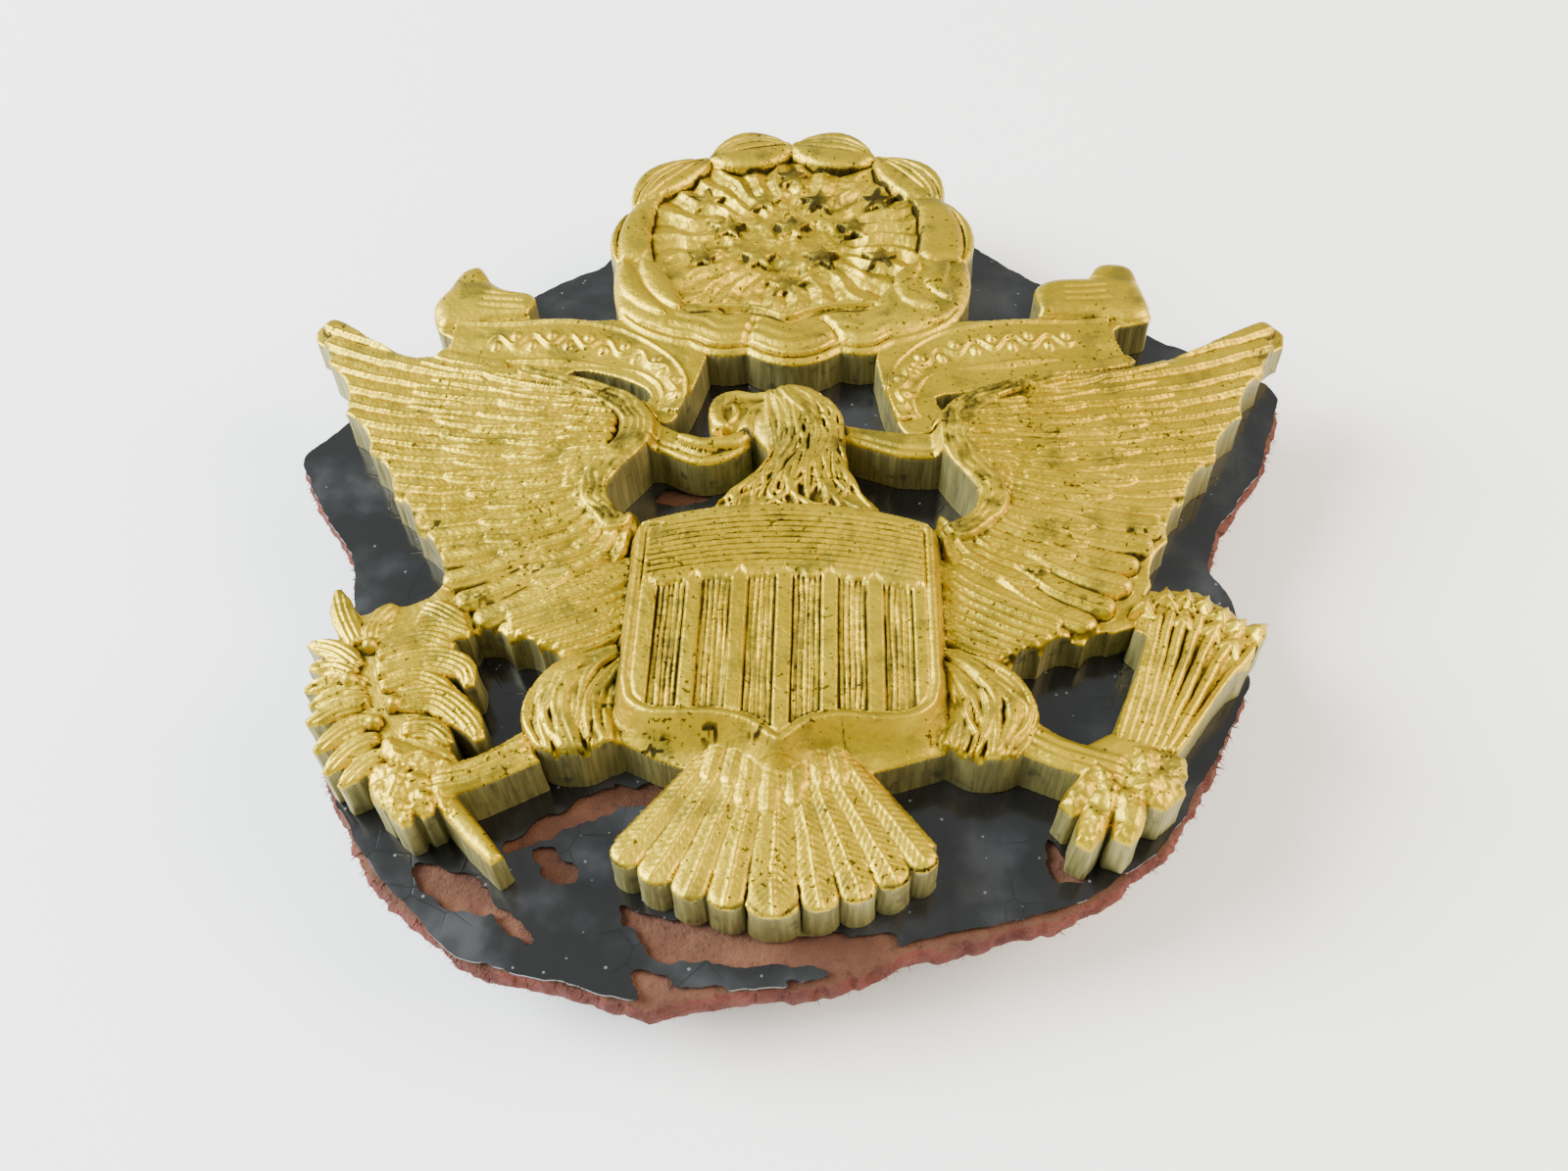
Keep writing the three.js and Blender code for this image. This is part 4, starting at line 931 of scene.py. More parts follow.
def solid_cells(edge):
    """Cells whose middle lies inside, with corner-to-corner contacts filled in."""
    middle = (edge[:-1, :-1] + edge[1:, :-1] + edge[:-1, 1:] + edge[1:, 1:]) / 4
    inside = middle < 0
    for _ in range(3):
        a, b, c, d = inside[:-1, :-1], inside[:-1, 1:], inside[1:, :-1], inside[1:, 1:]
        inside[:-1, 1:] |= a & d & ~b & ~c
        inside[:-1, :-1] |= b & c & ~a & ~d
    return inside


def cut_out(name, xs, ys, edge, height, cells, floor, rows, wobble, attributes=None):
    """A closed solid from a grid: its top at the given height, its walls straight down, its underside flat.

    Corners of the outermost cells slide along the gradient of the edge distance until it is zero, so
    the outline is smooth. The walls go down in rows and lean by wobble(x, y, share of the way down).
    """
    step = xs[1] - xs[0]
    x, y = (axis.ravel() for axis in np.meshgrid(xs, ys))
    gy, gx = (axis.ravel() for axis in np.gradient(edge, step))
    edge = edge.ravel()
    steep = (gx**2 + gy**2 + 1e-9) ** 0.5
    i, j = np.nonzero(cells)
    corner = i * xs.size + j
    quads = np.stack([corner, corner + 1, corner + xs.size + 1, corner + xs.size], 1)
    pad = np.pad(cells, 1)
    sides = []
    for di, dj, a, b in ((-1, 0, 0, 1), (0, 1, 1, 2), (1, 0, 2, 3), (0, -1, 3, 0)):
        open_side = ~pad[i + 1 + di, j + 1 + dj]
        sides.append(quads[open_side][:, [a, b]])
    sides = np.vstack(sides)
    rim, used = np.unique(sides), np.unique(quads)
    slot = np.full(x.size, -1)
    slot[used] = np.arange(used.size)
    on_rim = np.zeros(x.size, bool)
    on_rim[rim] = True
    move = (on_rim & (np.abs(edge) / step < 1.2))[used]
    pull = np.clip(edge[used] / steep[used], -0.75 * step, 0.75 * step) * move
    px = x[used] - pull * gx[used] / steep[used]
    py = y[used] - pull * gy[used] / steep[used]
    pz = height.ravel()[used]
    verts = [np.stack([px, py, pz], 1)]
    free = move[slot[rim]]
    ux, uy = gx[rim] / steep[rim] * free, gy[rim] / steep[rim] * free
    rx, ry, rz = px[slot[rim]], py[slot[rim]], pz[slot[rim]]
    ring_slot = np.full(x.size, -1)
    ring_slot[rim] = np.arange(rim.size)
    faces = [slot[quads]]
    above = slot[sides]
    for k, share in enumerate(rows):
        lean = wobble(rx, ry, share)
        verts.append(np.stack([rx + ux * lean, ry + uy * lean, rz + (floor - rz) * share], 1))
        below = ring_slot[sides] + used.size + k * rim.size
        faces.append(np.stack([above[:, 1], above[:, 0], below[:, 0], below[:, 1]], 1))
        above = below
    faces = np.vstack(faces)
    mesh = bpy.data.meshes.new(name)
    mesh.from_pydata(placed(np.vstack(verts)), [], faces.tolist())
    wall = np.zeros(len(faces), np.int32)
    wall[len(quads):] = 1
    mesh.polygons.foreach_set("material_index", wall)
    for key, values in (attributes or {}).items():
        layer = mesh.attributes.new(key, "FLOAT", "POINT")
        full = np.concatenate([values.ravel()[used], np.full(rim.size * len(rows), WALL_SHADE)])
        layer.data.foreach_set("value", full.astype(np.float32))
    close_under(mesh)
    smooth(mesh, 50)
    return new_object(name, mesh)


def turned(name, profile, centre_y, sides, warp=None):
    """A turned part round an upright axis: each profile point is swept round, its radius changed by warp.

    A profile whose first and last radius is zero closes in poles; otherwise it joins up into a ring.
    """
    profile = np.array(profile, float)
    poles = profile[0, 0] == 0
    body = profile[1:-1] if poles else profile
    turn = np.arange(sides) * 2 * np.pi / sides
    radius = body[:, :1] + np.zeros(sides)
    z = body[:, 1:] + np.zeros(sides)
    if warp:
        radius = radius + warp(radius, z, turn[None, :])
    verts = np.stack([radius * np.cos(turn), radius * np.sin(turn) + centre_y, z], 2).reshape(-1, 3)
    rows = body.shape[0]
    ring = np.arange(sides)
    faces = []
    for k in range(rows - 1 if poles else rows):
        a, b = k * sides, ((k + 1) % rows) * sides
        faces.append(np.stack([a + ring, a + (ring + 1) % sides, b + (ring + 1) % sides, b + ring], 1))
    faces = np.vstack(faces).tolist()
    if poles:
        verts = np.vstack([verts, [[0, centre_y, profile[0, 1]], [0, centre_y, profile[-1, 1]]]])
        first, last = rows * sides, rows * sides + 1
        faces += [(first, int((k + 1) % sides), int(k)) for k in ring]
        top = (rows - 1) * sides
        faces += [(last, int(top + k), int(top + (k + 1) % sides)) for k in ring]
    mesh = bpy.data.meshes.new(name)
    mesh.from_pydata(verts * MM, [], faces)
    smooth(mesh, 40)
    return new_object(name, mesh)


def helix(z, turn):
    """A screw thread round an upright axis: 1 on its helix, 0 half a pitch away, a straight slope between."""
    phase = np.mod(z / SCREW_PITCH - turn / (2 * np.pi), 1)
    return 1 - np.abs(2 * phase - 1)


def finish_piece(piece, body, node, slot, *materials):
    """Gives a piece its materials, parents it to the empty of the body it rides on and hides the imported
    part that it stands for.
    """
    for material in materials:
        piece.data.materials.append(material)
    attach(piece, body)
    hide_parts(node)
    return piece


# ---------------------------------------------------------------- materials

def paint(code):
    """An sRGB hex colour as the linear colour that shaders use."""
    parts = [int(code[k:k + 2], 16) / 255 for k in (1, 3, 5)]
    return tuple(c / 12.92 if c <= 0.04045 else ((c + 0.055) / 1.055) ** 2.4 for c in parts) + (1.0,)


def add(tree, kind, inputs=None, out=0, **settings):
    """Adds a node with its settings, and links or sets its inputs; gives one of its outputs."""
    node = tree.nodes.new(kind)
    for key, value in settings.items():
        setattr(node, key, value)
    for key, value in (inputs or {}).items():
        if isinstance(value, bpy.types.NodeSocket):
            tree.links.new(value, node.inputs[key])
        else:
            node.inputs[key].default_value = value
    return node.outputs[out]


def mix(tree, share, a, b):
    """Blends two colours, given as sockets or hex codes."""
    a, b = (paint(c) if isinstance(c, str) else c for c in (a, b))
    return add(tree, "ShaderNodeMix", {0: share, 6: a, 7: b}, out=2, data_type="RGBA")


def between(tree, value, low, high, start=0.0, end=1.0):
    """A smooth step from start to end as the value goes from low to high."""
    inputs = {"Value": value, "From Min": low, "From Max": high, "To Min": start, "To Max": end}
    return add(tree, "ShaderNodeMapRange", inputs, interpolation_type="SMOOTHSTEP")


def maths(tree, operation, a, b, c=0.0):
    """One step of arithmetic on sockets or numbers."""
    return add(tree, "ShaderNodeMath", {0: a, 1: b, 2: c}, operation=operation)


def measured(tree, size, shift, stretch=(1, 1, 1)):
    """Object coordinates in steps of size millimetres, stretched and shifted along the axes."""
    where = add(tree, "ShaderNodeTexCoord", out=3)
    scale = tuple(1 / (size * MM * s) for s in stretch)
    return add(tree, "ShaderNodeMapping", {"Vector": where, "Scale": scale, "Location": (shift,) * 3})


def grain(tree, size, detail, stretch=(1, 1, 1), rough=0.55, shift=0.0):
    """Noise whose blotches are about size millimetres across, stretched along the axes."""
    inputs = {"Vector": measured(tree, size, shift, stretch), "Scale": 1.0, "Detail": detail,
              "Roughness": rough}
    return add(tree, "ShaderNodeTexNoise", inputs)


def spots(tree, size, shift, feature="F1"):
    """Distance to the nearest of scattered points that lie about size millimetres apart."""
    where = measured(tree, size, shift)
    return add(tree, "ShaderNodeTexVoronoi", {"Vector": where, "Scale": 1.0}, feature=feature)


def bumped(tree, height, depth, normal=None):
    """A normal bent by a height of the given depth in millimetres."""
    inputs = {"Height": height, "Strength": 1.0, "Distance": depth * MM}
    if normal is not None:
        inputs["Normal"] = normal
    return add(tree, "ShaderNodeBump", inputs)


def new_material(name):
    """An empty material and its node tree."""
    material = bpy.data.materials.new(name)
    material.use_nodes = True
    material.node_tree.nodes.clear()
    return material, material.node_tree


def close(tree, inputs):
    """Ends a material in one Principled shader."""
    shader = add(tree, "ShaderNodeBsdfPrincipled", inputs)
    output = tree.nodes.new("ShaderNodeOutputMaterial")
    tree.links.new(shader, output.inputs["Surface"])


def gilt_brass():
    """Gilt over struck brass: a satin face, brown tarnish in the hollows, dark dirt in the fine cuts, and the
    relief's stains and painted shade deepening both.
    """
    material, tree = new_material("Gilt brass, die struck and worn")
    recess, crevice, stain_and_shade = (add(tree, "ShaderNodeAttribute", out=2, attribute_name=name)
                              for name in ("recess", "crevice", "stain_and_shade"))
    blotch = maths(tree, "SUBTRACT", grain(tree, 0.5, 4.0), 0.5)
    grime_and_shade = maths(tree, "SUBTRACT", grain(tree, 4.0, 3.0, shift=6.0), 0.5)
    tarnish_and_shade = maths(tree, "MULTIPLY_ADD", blotch, 0.9, recess)
    # The relief's stain attribute holds real stains and painted shade; it deepens both the tarnish and the
    # dirt.
    tarnish_and_shade = maths(tree, "ADD", tarnish_and_shade, stain_and_shade)
    dirt_and_shade = maths(tree, "MULTIPLY_ADD", grime_and_shade, 1.4, crevice)
    dirt_and_shade = maths(tree, "MULTIPLY_ADD", blotch, 0.6, dirt_and_shade)
    dirt_and_shade = maths(tree, "ADD", dirt_and_shade, stain_and_shade)
    tone = mix(tree, between(tree, grain(tree, 7.0, 3.0, shift=3.0), 0.35, 0.65), "#B99D1E", "#C8AC26")
    tone = mix(tree, between(tree, grain(tree, 2.2, 4.0, shift=9.0), 0.5, 0.7), tone, "#938129")
    tone = mix(tree, between(tree, tarnish_and_shade, 0.36, 0.95, 0.0, 0.8), tone, "#50481F")
    tone = mix(tree, between(tree, dirt_and_shade, 0.45, 1.0, 0.0, 0.9), tone, "#2B2613")
    fleck = maths(tree, "MULTIPLY_ADD", grime_and_shade, 0.35, grain(tree, 0.3, 3.0, shift=14.0))
    fleck = between(tree, fleck, 0.63, 0.69)
    tone = mix(tree, maths(tree, "MULTIPLY", fleck, 0.85), tone, "#241C0C")
    roughness = between(tree, tarnish_and_shade, 0.2, 0.9, 0.46, 0.62)
    roughness = maths(tree, "MULTIPLY_ADD", fleck, 0.2, roughness)
    relief = bumped(tree, grain(tree, 0.3, 3.0, shift=21.0), 0.045)
    relief = bumped(tree, grain(tree, 1.1, 2.0, shift=31.0), 0.1, relief)
    close(tree, {"Base Color": tone, "Metallic": 1.0, "Roughness": roughness, "Normal": relief})
    return material


def sheared_brass():
    """The pierced edge: bare olive brass, dull, with upright marks left by the piercing tool."""
    material, tree = new_material("Brass, pierced edge with tool marks")
    marks = grain(tree, 0.22, 3.0, (1, 1, 14))
    stain_and_shade = grain(tree, 0.9, 4.0, shift=4.0)
    tone = mix(tree, between(tree, marks, 0.35, 0.7), "#7A7344", "#989056")
    tone = mix(tree, between(tree, stain_and_shade, 0.55, 0.75), tone, "#5A563A")
    relief = bumped(tree, marks, 0.05)
    close(tree, {"Base Color": tone, "Metallic": 0.65, "Roughness": 0.48, "Normal": relief})
    return material


def patent_lacquer():
    """Patent lacquer: black and glossy, with a web of fine cracks, ripples, hazy patches and dust."""
    material, tree = new_material("Patent lacquer, cracked and dusty")
    ripple = grain(tree, 5.0, 2.0)
    crack = between(tree, spots(tree, 2.6, 2.0, "DISTANCE_TO_EDGE"), 0.0, 0.03, 1.0, 0.0)
    crack = maths(tree, "MULTIPLY", crack, between(tree, grain(tree, 4.0, 2.0, shift=7.0), 0.5, 0.6))
    dust = between(tree, spots(tree, 0.9, 11.0), 0.1, 0.06)
    film = between(tree, grain(tree, 6.0, 4.0, shift=13.0), 0.45, 0.7)
    tone = mix(tree, film, "#111112", "#2A2C2E")
    tone = mix(tree, maths(tree, "MULTIPLY", dust, 0.3), tone, "#8C9098")
    tone = mix(tree, maths(tree, "MULTIPLY", crack, 0.6), tone, "#050505")
    relief = bumped(tree, ripple, 0.07)
    relief = bumped(tree, maths(tree, "SUBTRACT", 0.0, crack), 0.008, relief)
    roughness = between(tree, film, 0.2, 0.9, 0.16, 0.34)
    roughness = maths(tree, "ADD", roughness, maths(tree, "MULTIPLY", dust, 0.4))
    close(tree, {"Base Color": tone, "Roughness": roughness, "Normal": relief})
    return material


def russet_leather(finish="torn suede nap", light="#64402B", dark="#52301F", pit="#341E14"):
    """Split leather: a russet, fibrous nap with paler and darker patches; a cut edge is redder and darker."""
    material, tree = new_material("Russet leather, " + finish)
    nap = grain(tree, 0.35, 5.0, rough=0.7)
    patch = grain(tree, 2.4, 3.0, shift=5.0)
    tone = mix(tree, between(tree, patch, 0.35, 0.65), dark, light)
    tone = mix(tree, between(tree, nap, 0.55, 0.75), tone, pit)
    close(tree, {"Base Color": tone, "Roughness": 0.95, "Normal": bumped(tree, nap, 0.25)})
    return material


def turned_brass():
    """Turned brass: fine rings from the lathe and a brown bloom of age."""
    material, tree = new_material("Brass, turned and dulled")
    bloom = grain(tree, 2.5, 4.0)
    fine = grain(tree, 0.2, 3.0, (4, 4, 1), shift=3.0)
    tone = mix(tree, between(tree, bloom, 0.4, 0.7), "#B8954A", "#8A6A30")
    close(tree, {"Base Color": tone, "Metallic": 1.0, "Roughness": between(tree, bloom, 0.3, 0.7, 0.28, 0.5),
                 "Normal": bumped(tree, fine, 0.01)})
    return material


def soft_solder():
    """Tin solder: grey, slightly frosted, flowed round the foot of the post or a pin."""
    material, tree = new_material("Tin solder, flowed")
    frost = grain(tree, 0.6, 4.0)
    tone = mix(tree, between(tree, frost, 0.4, 0.7), "#A9A69C", "#7E7B72")
    close(tree, {"Base Color": tone, "Metallic": 1.0, "Roughness": between(tree, frost, 0.3, 0.7, 0.3, 0.5),
                 "Normal": bumped(tree, frost, 0.05)})
    return material


def studio_paper():
    """Matt paper sheet: nearly white."""
    material, tree = new_material("Paper, matt white sheet")
    close(tree, {"Base Color": paint("#FDFEFE"), "Roughness": 0.85})
    return material


# ---------------------------------------------------------------- outlines of the leather

LEATHER_OUTLINE = [(0, 57.6), (-7, 56), (-11.4, 52), (-13.2, 48.4), (-17.5, 45.4), (-20.5, 42),
                   (-26, 35.4), (-29.8, 30.2), (-28.3, 27.4), (-24.6, 22.4), (-23.4, 16), (-23.2, 8.4),
                   (-19.6, 3.2), (-14.6, -1), (-9.8, -2.1), (-5.4, -3), (-2, -2.2), (2.1, -2.1),
                   (5.9, -0.3), (13.5, 1.6), (18.8, 5.1), (21.6, 9.4), (24.4, 14.6), (24.6, 19.4),
                   (23.5, 22), (24.5, 25.1), (27.8, 29.4), (30.2, 35.6), (29.6, 37), (24, 40.6),
                   (20, 43.6), (15.7, 47), (12.1, 50.4), (9, 54.6)]
FLAKES = [
    [(-13, 4.4), (-10.8, 6.6), (-7.9, 8.1), (-5.6, 8.1), (-5.4, 6.8), (-7.4, 6.8), (-9.8, 6)],
    [(-17.2, 3.2), (-15.4, 3.5), (-13.1, 2), (-11.2, -0.1), (-12.3, 0.2), (-13.6, 1), (-15.5, 1.6)],
    [(-11.7, 4.4), (-10.4, 4), (-9.6, 2.9), (-10.9, 2.8)],
    [(-7.2, 1.6), (-4, 0.9), (3.4, 0.6), (5.6, 0.6), (5.2, -0.9), (0.6, -1.2), (-2.4, -1.3), (-5.8, -0.6)],
    [(0.5, -1.7), (2.5, -1.6), (4.8, -1.1), (4.8, -2.2), (1.2, -2.8)],
    [(-6.4, -1.6), (-4.2, -1.9), (-2.2, -2.1), (-1.8, -2.9), (-5, -3.6)],
    [(-7.6, 27.6), (-4.6, 28), (-4.6, 26.8), (-7.2, 26.6)],
    [(-3.6, 37.3), (0, 37.7), (5, 37.4), (5, 37.1), (0, 37.3), (-3.6, 36.9)],
    [(9.2, 8.7), (10.8, 8.6), (12.6, 8.4), (12.6, 8.0), (10.8, 8.1), (9.2, 8.2)],
    [(13, 5.6), (14.6, 4), (15.4, 3.4), (13.4, 3.4)],
]
# Height and radius of the holes punched for the post and the two pins.
HOLES = ((POST_ABOVE_TAIL, 3.7), (48.0, 1.9), (11.2, 1.9))


def leather_field(step):
    """The grid and the signed distance to the leather's edge, its punched holes taken out."""
    xs = np.arange(-31, 31.5, step)
    ys = np.arange(-4, 58.6, step)
    x, y = np.meshgrid(xs, ys)
    edge = blur_mm(polygon_distance(x, y, np.array(LEATHER_OUTLINE, float)), 0.7, step)
    for height, radius in HOLES:
        edge = np.maximum(edge, radius - np.hypot(x, y - height))
    return xs, ys, x, y, edge


def tufts(xs, ys, edge, low, high, count=2600):
    """Loose leather fibres: thin three-sided spikes on the edge, each its own small solid."""
    rng = np.random.default_rng(131)
    step = xs[1] - xs[0]
    gy, gx = np.gradient(edge, step)
    i, j = np.nonzero(np.abs(edge) < 0.6 * step)
    pick = rng.integers(0, i.size, count)
    i, j = i[pick], j[pick]
    norm = np.hypot(gx[i, j], gy[i, j]) + 1e-6
    out = np.stack([gx[i, j] / norm, gy[i, j] / norm, np.zeros(count)], 1)
    along = np.stack([-out[:, 1], out[:, 0], out[:, 2]], 1)
    up = np.array([0.0, 0.0, 1.0])
    root = np.stack([xs[j], ys[i], rng.uniform(low, high, count)], 1) - out * 0.15
    reach = rng.uniform(0.3, 0.65, (count, 1))
    lean = rng.uniform(-0.7, 0.7, (count, 1)) * along + rng.uniform(-0.6, 0.3, (count, 1)) * up
    tip = root + (out + lean) * reach
    thick = rng.uniform(0.03, 0.055, (count, 1))
    thirds = (0, 2.094, 4.189)
    foot = [root + thick * (math.cos(t) * along + math.sin(t) * up) for t in thirds]
    verts = np.stack(foot + [tip], 1).reshape(-1, 3)
    first = 4 * np.arange(count)[:, None]
    faces = np.concatenate([first + [2, 1, 0], first + [0, 1, 3], first + [1, 2, 3], first + [2, 0, 3]])
    mesh = bpy.data.meshes.new("leather_fibres")
    mesh.from_pydata(placed(verts), [], faces.tolist())
    return new_object("leather_fibres", mesh)


def pierced_wall(x, y, share):
    """How far the striking's wall leans out: tool marks that fade at its ends, and a flare at the back."""
    marks = 0.05 * speckle(x, y, 0.3, 3) + 0.04 * speckle(x, y, 1.1, 4)
    return marks * np.sin(np.pi * min(share + 0.1, 0.9)) + 0.07 * share**3


def fibrous_wall(x, y, share):
    """How far the leather's edge leans out: tufts that change on the way down, round a bulge."""
    tuft = 0.2 * speckle(x, y, 0.4, 95 + int(10 * share))
    return tuft * np.sin(np.pi * min(share + 0.1, 1)) + 0.15 * np.sin(np.pi * share)


def upright_wall(x, y, share):
    """A wall that does not lean."""
    return np.zeros(x.shape)


# ---------------------------------------------------------------- settings, operators and panel

class BadgeSettings(bpy.types.PropertyGroup):
    """Sizes that decide how finely the badge is modelled."""

    relief_step: FloatProperty(
        name="Relief step", description="Distance between points of the struck relief",
        default=0.07 * MM, min=0.04 * MM, unit="LENGTH")
    leather_step: FloatProperty(
        name="Leather step", description="Distance between points of the leather",
        default=0.18 * MM, min=0.1 * MM, unit="LENGTH")
    edge_round: FloatProperty(
        name="Edge rounding", description="Radius where the face turns into the edge wall",
        default=0.16 * MM, min=0.05 * MM, unit="LENGTH")


class StageSettings(bpy.types.PropertyGroup):
    """The camera, the lights and the floor."""

    camera_at: FloatVectorProperty(
        name="Camera position", description="Where the camera stands",
        default=(0.002374, -0.052432, 0.064192), subtype="TRANSLATION", unit="LENGTH")
    pitch: FloatProperty(
        name="Pitch", description="How far the camera looks down", default=0.91508, subtype="ANGLE")
    yaw: FloatProperty(
        name="Yaw", description="How far the camera turns aside", default=0.05522, subtype="ANGLE")
    roll: FloatProperty(
        name="Roll", description="How far the camera leans", default=0.03512, subtype="ANGLE")
    lens: FloatProperty(
        name="Lens", description="Focal length on a 36 mm sensor", default=30.15, min=1, max=200)
    floor_half: FloatProperty(
        name="Floor half width", description="Half the side of the floor sheet", default=0.6, unit="LENGTH")


class BADGE_OT_striking(bpy.types.Operator):
    """Strikes the eagle: the relief is worked out once, then cut into pieces that meet without a gap"""

    bl_idname = "badge.striking"
    bl_label = "Eagle striking"

    def execute(self, context):
        settings = context.scene.badge_settings
        step, rounding = settings.relief_step / MM, settings.edge_round / MM
        r = height_map(step)
        edge = r.edge()
        inside = (edge < step).astype(float)
        soft = box_blur(r.h * inside, 1) / np.maximum(box_blur(inside, 1), 0.1)
        height = np.where(inside > 0, 0.3 * soft + 0.7 * r.h, 2.3)
        full = np.where(inside > 0, height, 2.0)
        cells_wide = max(int(0.35 / step), 2)
        recess = np.clip(0.35 + 1.6 * (box_blur(box_blur(full, cells_wide), cells_wide) - full), 0, 1.2)
        crevice = np.clip(9.0 * (box_blur(box_blur(full, 1), 2) - full), 0, 1.2)
        inner = ease(0, -0.45, edge)
        recess, crevice = 0.3 + (recess - 0.3) * inner, crevice * inner
        turn = np.clip(-edge / rounding, 0, 1)
        height = height - rounding * (1 - quarter(turn))
        cells = solid_cells(edge)
        nearest = np.argmin([box_blur(f, 1) for f in r.regions], 0)[:-1, :-1]
        front = (nearest == REGIONS.index("cloud_ring")) & (r.y[:-1, :-1] < GLORY[1])
        nearest = np.where(front, len(REGIONS), nearest)
        shades = {"recess": recess, "crevice": crevice, "stain_and_shade": r.stain_and_shade}
        face, wall = gilt_brass(), sheared_brass()
        for k, region in enumerate(REGIONS + ("cloud_front",)):
            piece = cut_out("eagle_" + region, r.xs, r.ys, edge, height + BACK, cells & (nearest == k), BACK,
                            (0.12, 0.35, 0.6, 0.85, 1.0), pierced_wall, shades)
            finish_piece(piece, "badge", "eagle_striking", "gilt_brass", face, wall)
        return {"FINISHED"}


class BADGE_OT_leather(bpy.types.Operator):
    """Cuts the leather backing, with a fibrous edge, and lays the flaked lacquer on it"""

    bl_idname = "badge.leather"
    bl_label = "Leather and lacquer"

    def execute(self, context):
        step = context.scene.badge_settings.leather_step / MM
        xs, ys, x, y, edge = leather_field(step)
        low, high = (c[2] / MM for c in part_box("leather_backing"))
        film_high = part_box("lacquer_film")[1][2] / MM
        fibres = 0.15 * cloudy(x, y, 2.2, 81) + 0.1 * speckle(x, y, 0.45, 85)
        outer = edge + fibres * ease(-2.5, 0, edge)
        nap = high - 0.1 + 0.06 * cloudy(x, y, 0.7, 91) - 0.2 * ease(-0.4, 0.1, outer)
        core = cut_out("leather_core", xs, ys, outer, nap, solid_cells(outer), low, (0.2, 0.45, 0.7, 1.0),
                       fibrous_wall)
        suede = russet_leather()
        cut = russet_leather("cut edge", "#703527", "#562519", "#33160F")
        finish_piece(core, "badge", "leather_backing", "russet_leather", suede, cut)
        fringe = tufts(xs, ys, outer, low + 0.5, high - 0.15)
        finish_piece(fringe, "badge", "leather_backing", "russet_leather", cut)
        patchy = ease(0.2, 0.6, 0.5 + 0.5 * speckle(x, y, 4, 102))
        torn = 0.02 + 0.3 * ease(10, 2, y) * ease(0, 5, x) * patchy
        coat = edge + torn + 0.12 * cloudy(x, y, 1.9, 101) + 0.05 * speckle(x, y, 0.4, 103)
        wear = 0.35 * cloudy(x, y, 1.2, 111)
        for flake in FLAKES:
            coat = np.maximum(coat, -polygon_distance(x, y, spline(flake, True, per=4)) + wear)
        top = np.full(x.shape, film_high - 0.02)
        film = cut_out("lacquer_coat", xs, ys, coat, top, solid_cells(coat), film_high - 0.16, (0.5, 1.0),
                       upright_wall)
        black = patent_lacquer()
        finish_piece(film, "badge", "lacquer_film", "black_patent", black, black)
        return {"FINISHED"}


# The solder rings and the radius of the bar that each one surrounds.
SOLDER_BORES = (("post_solder", 1.76), ("upper_pin_solder", 0.61), ("lower_pin_solder", 0.61))


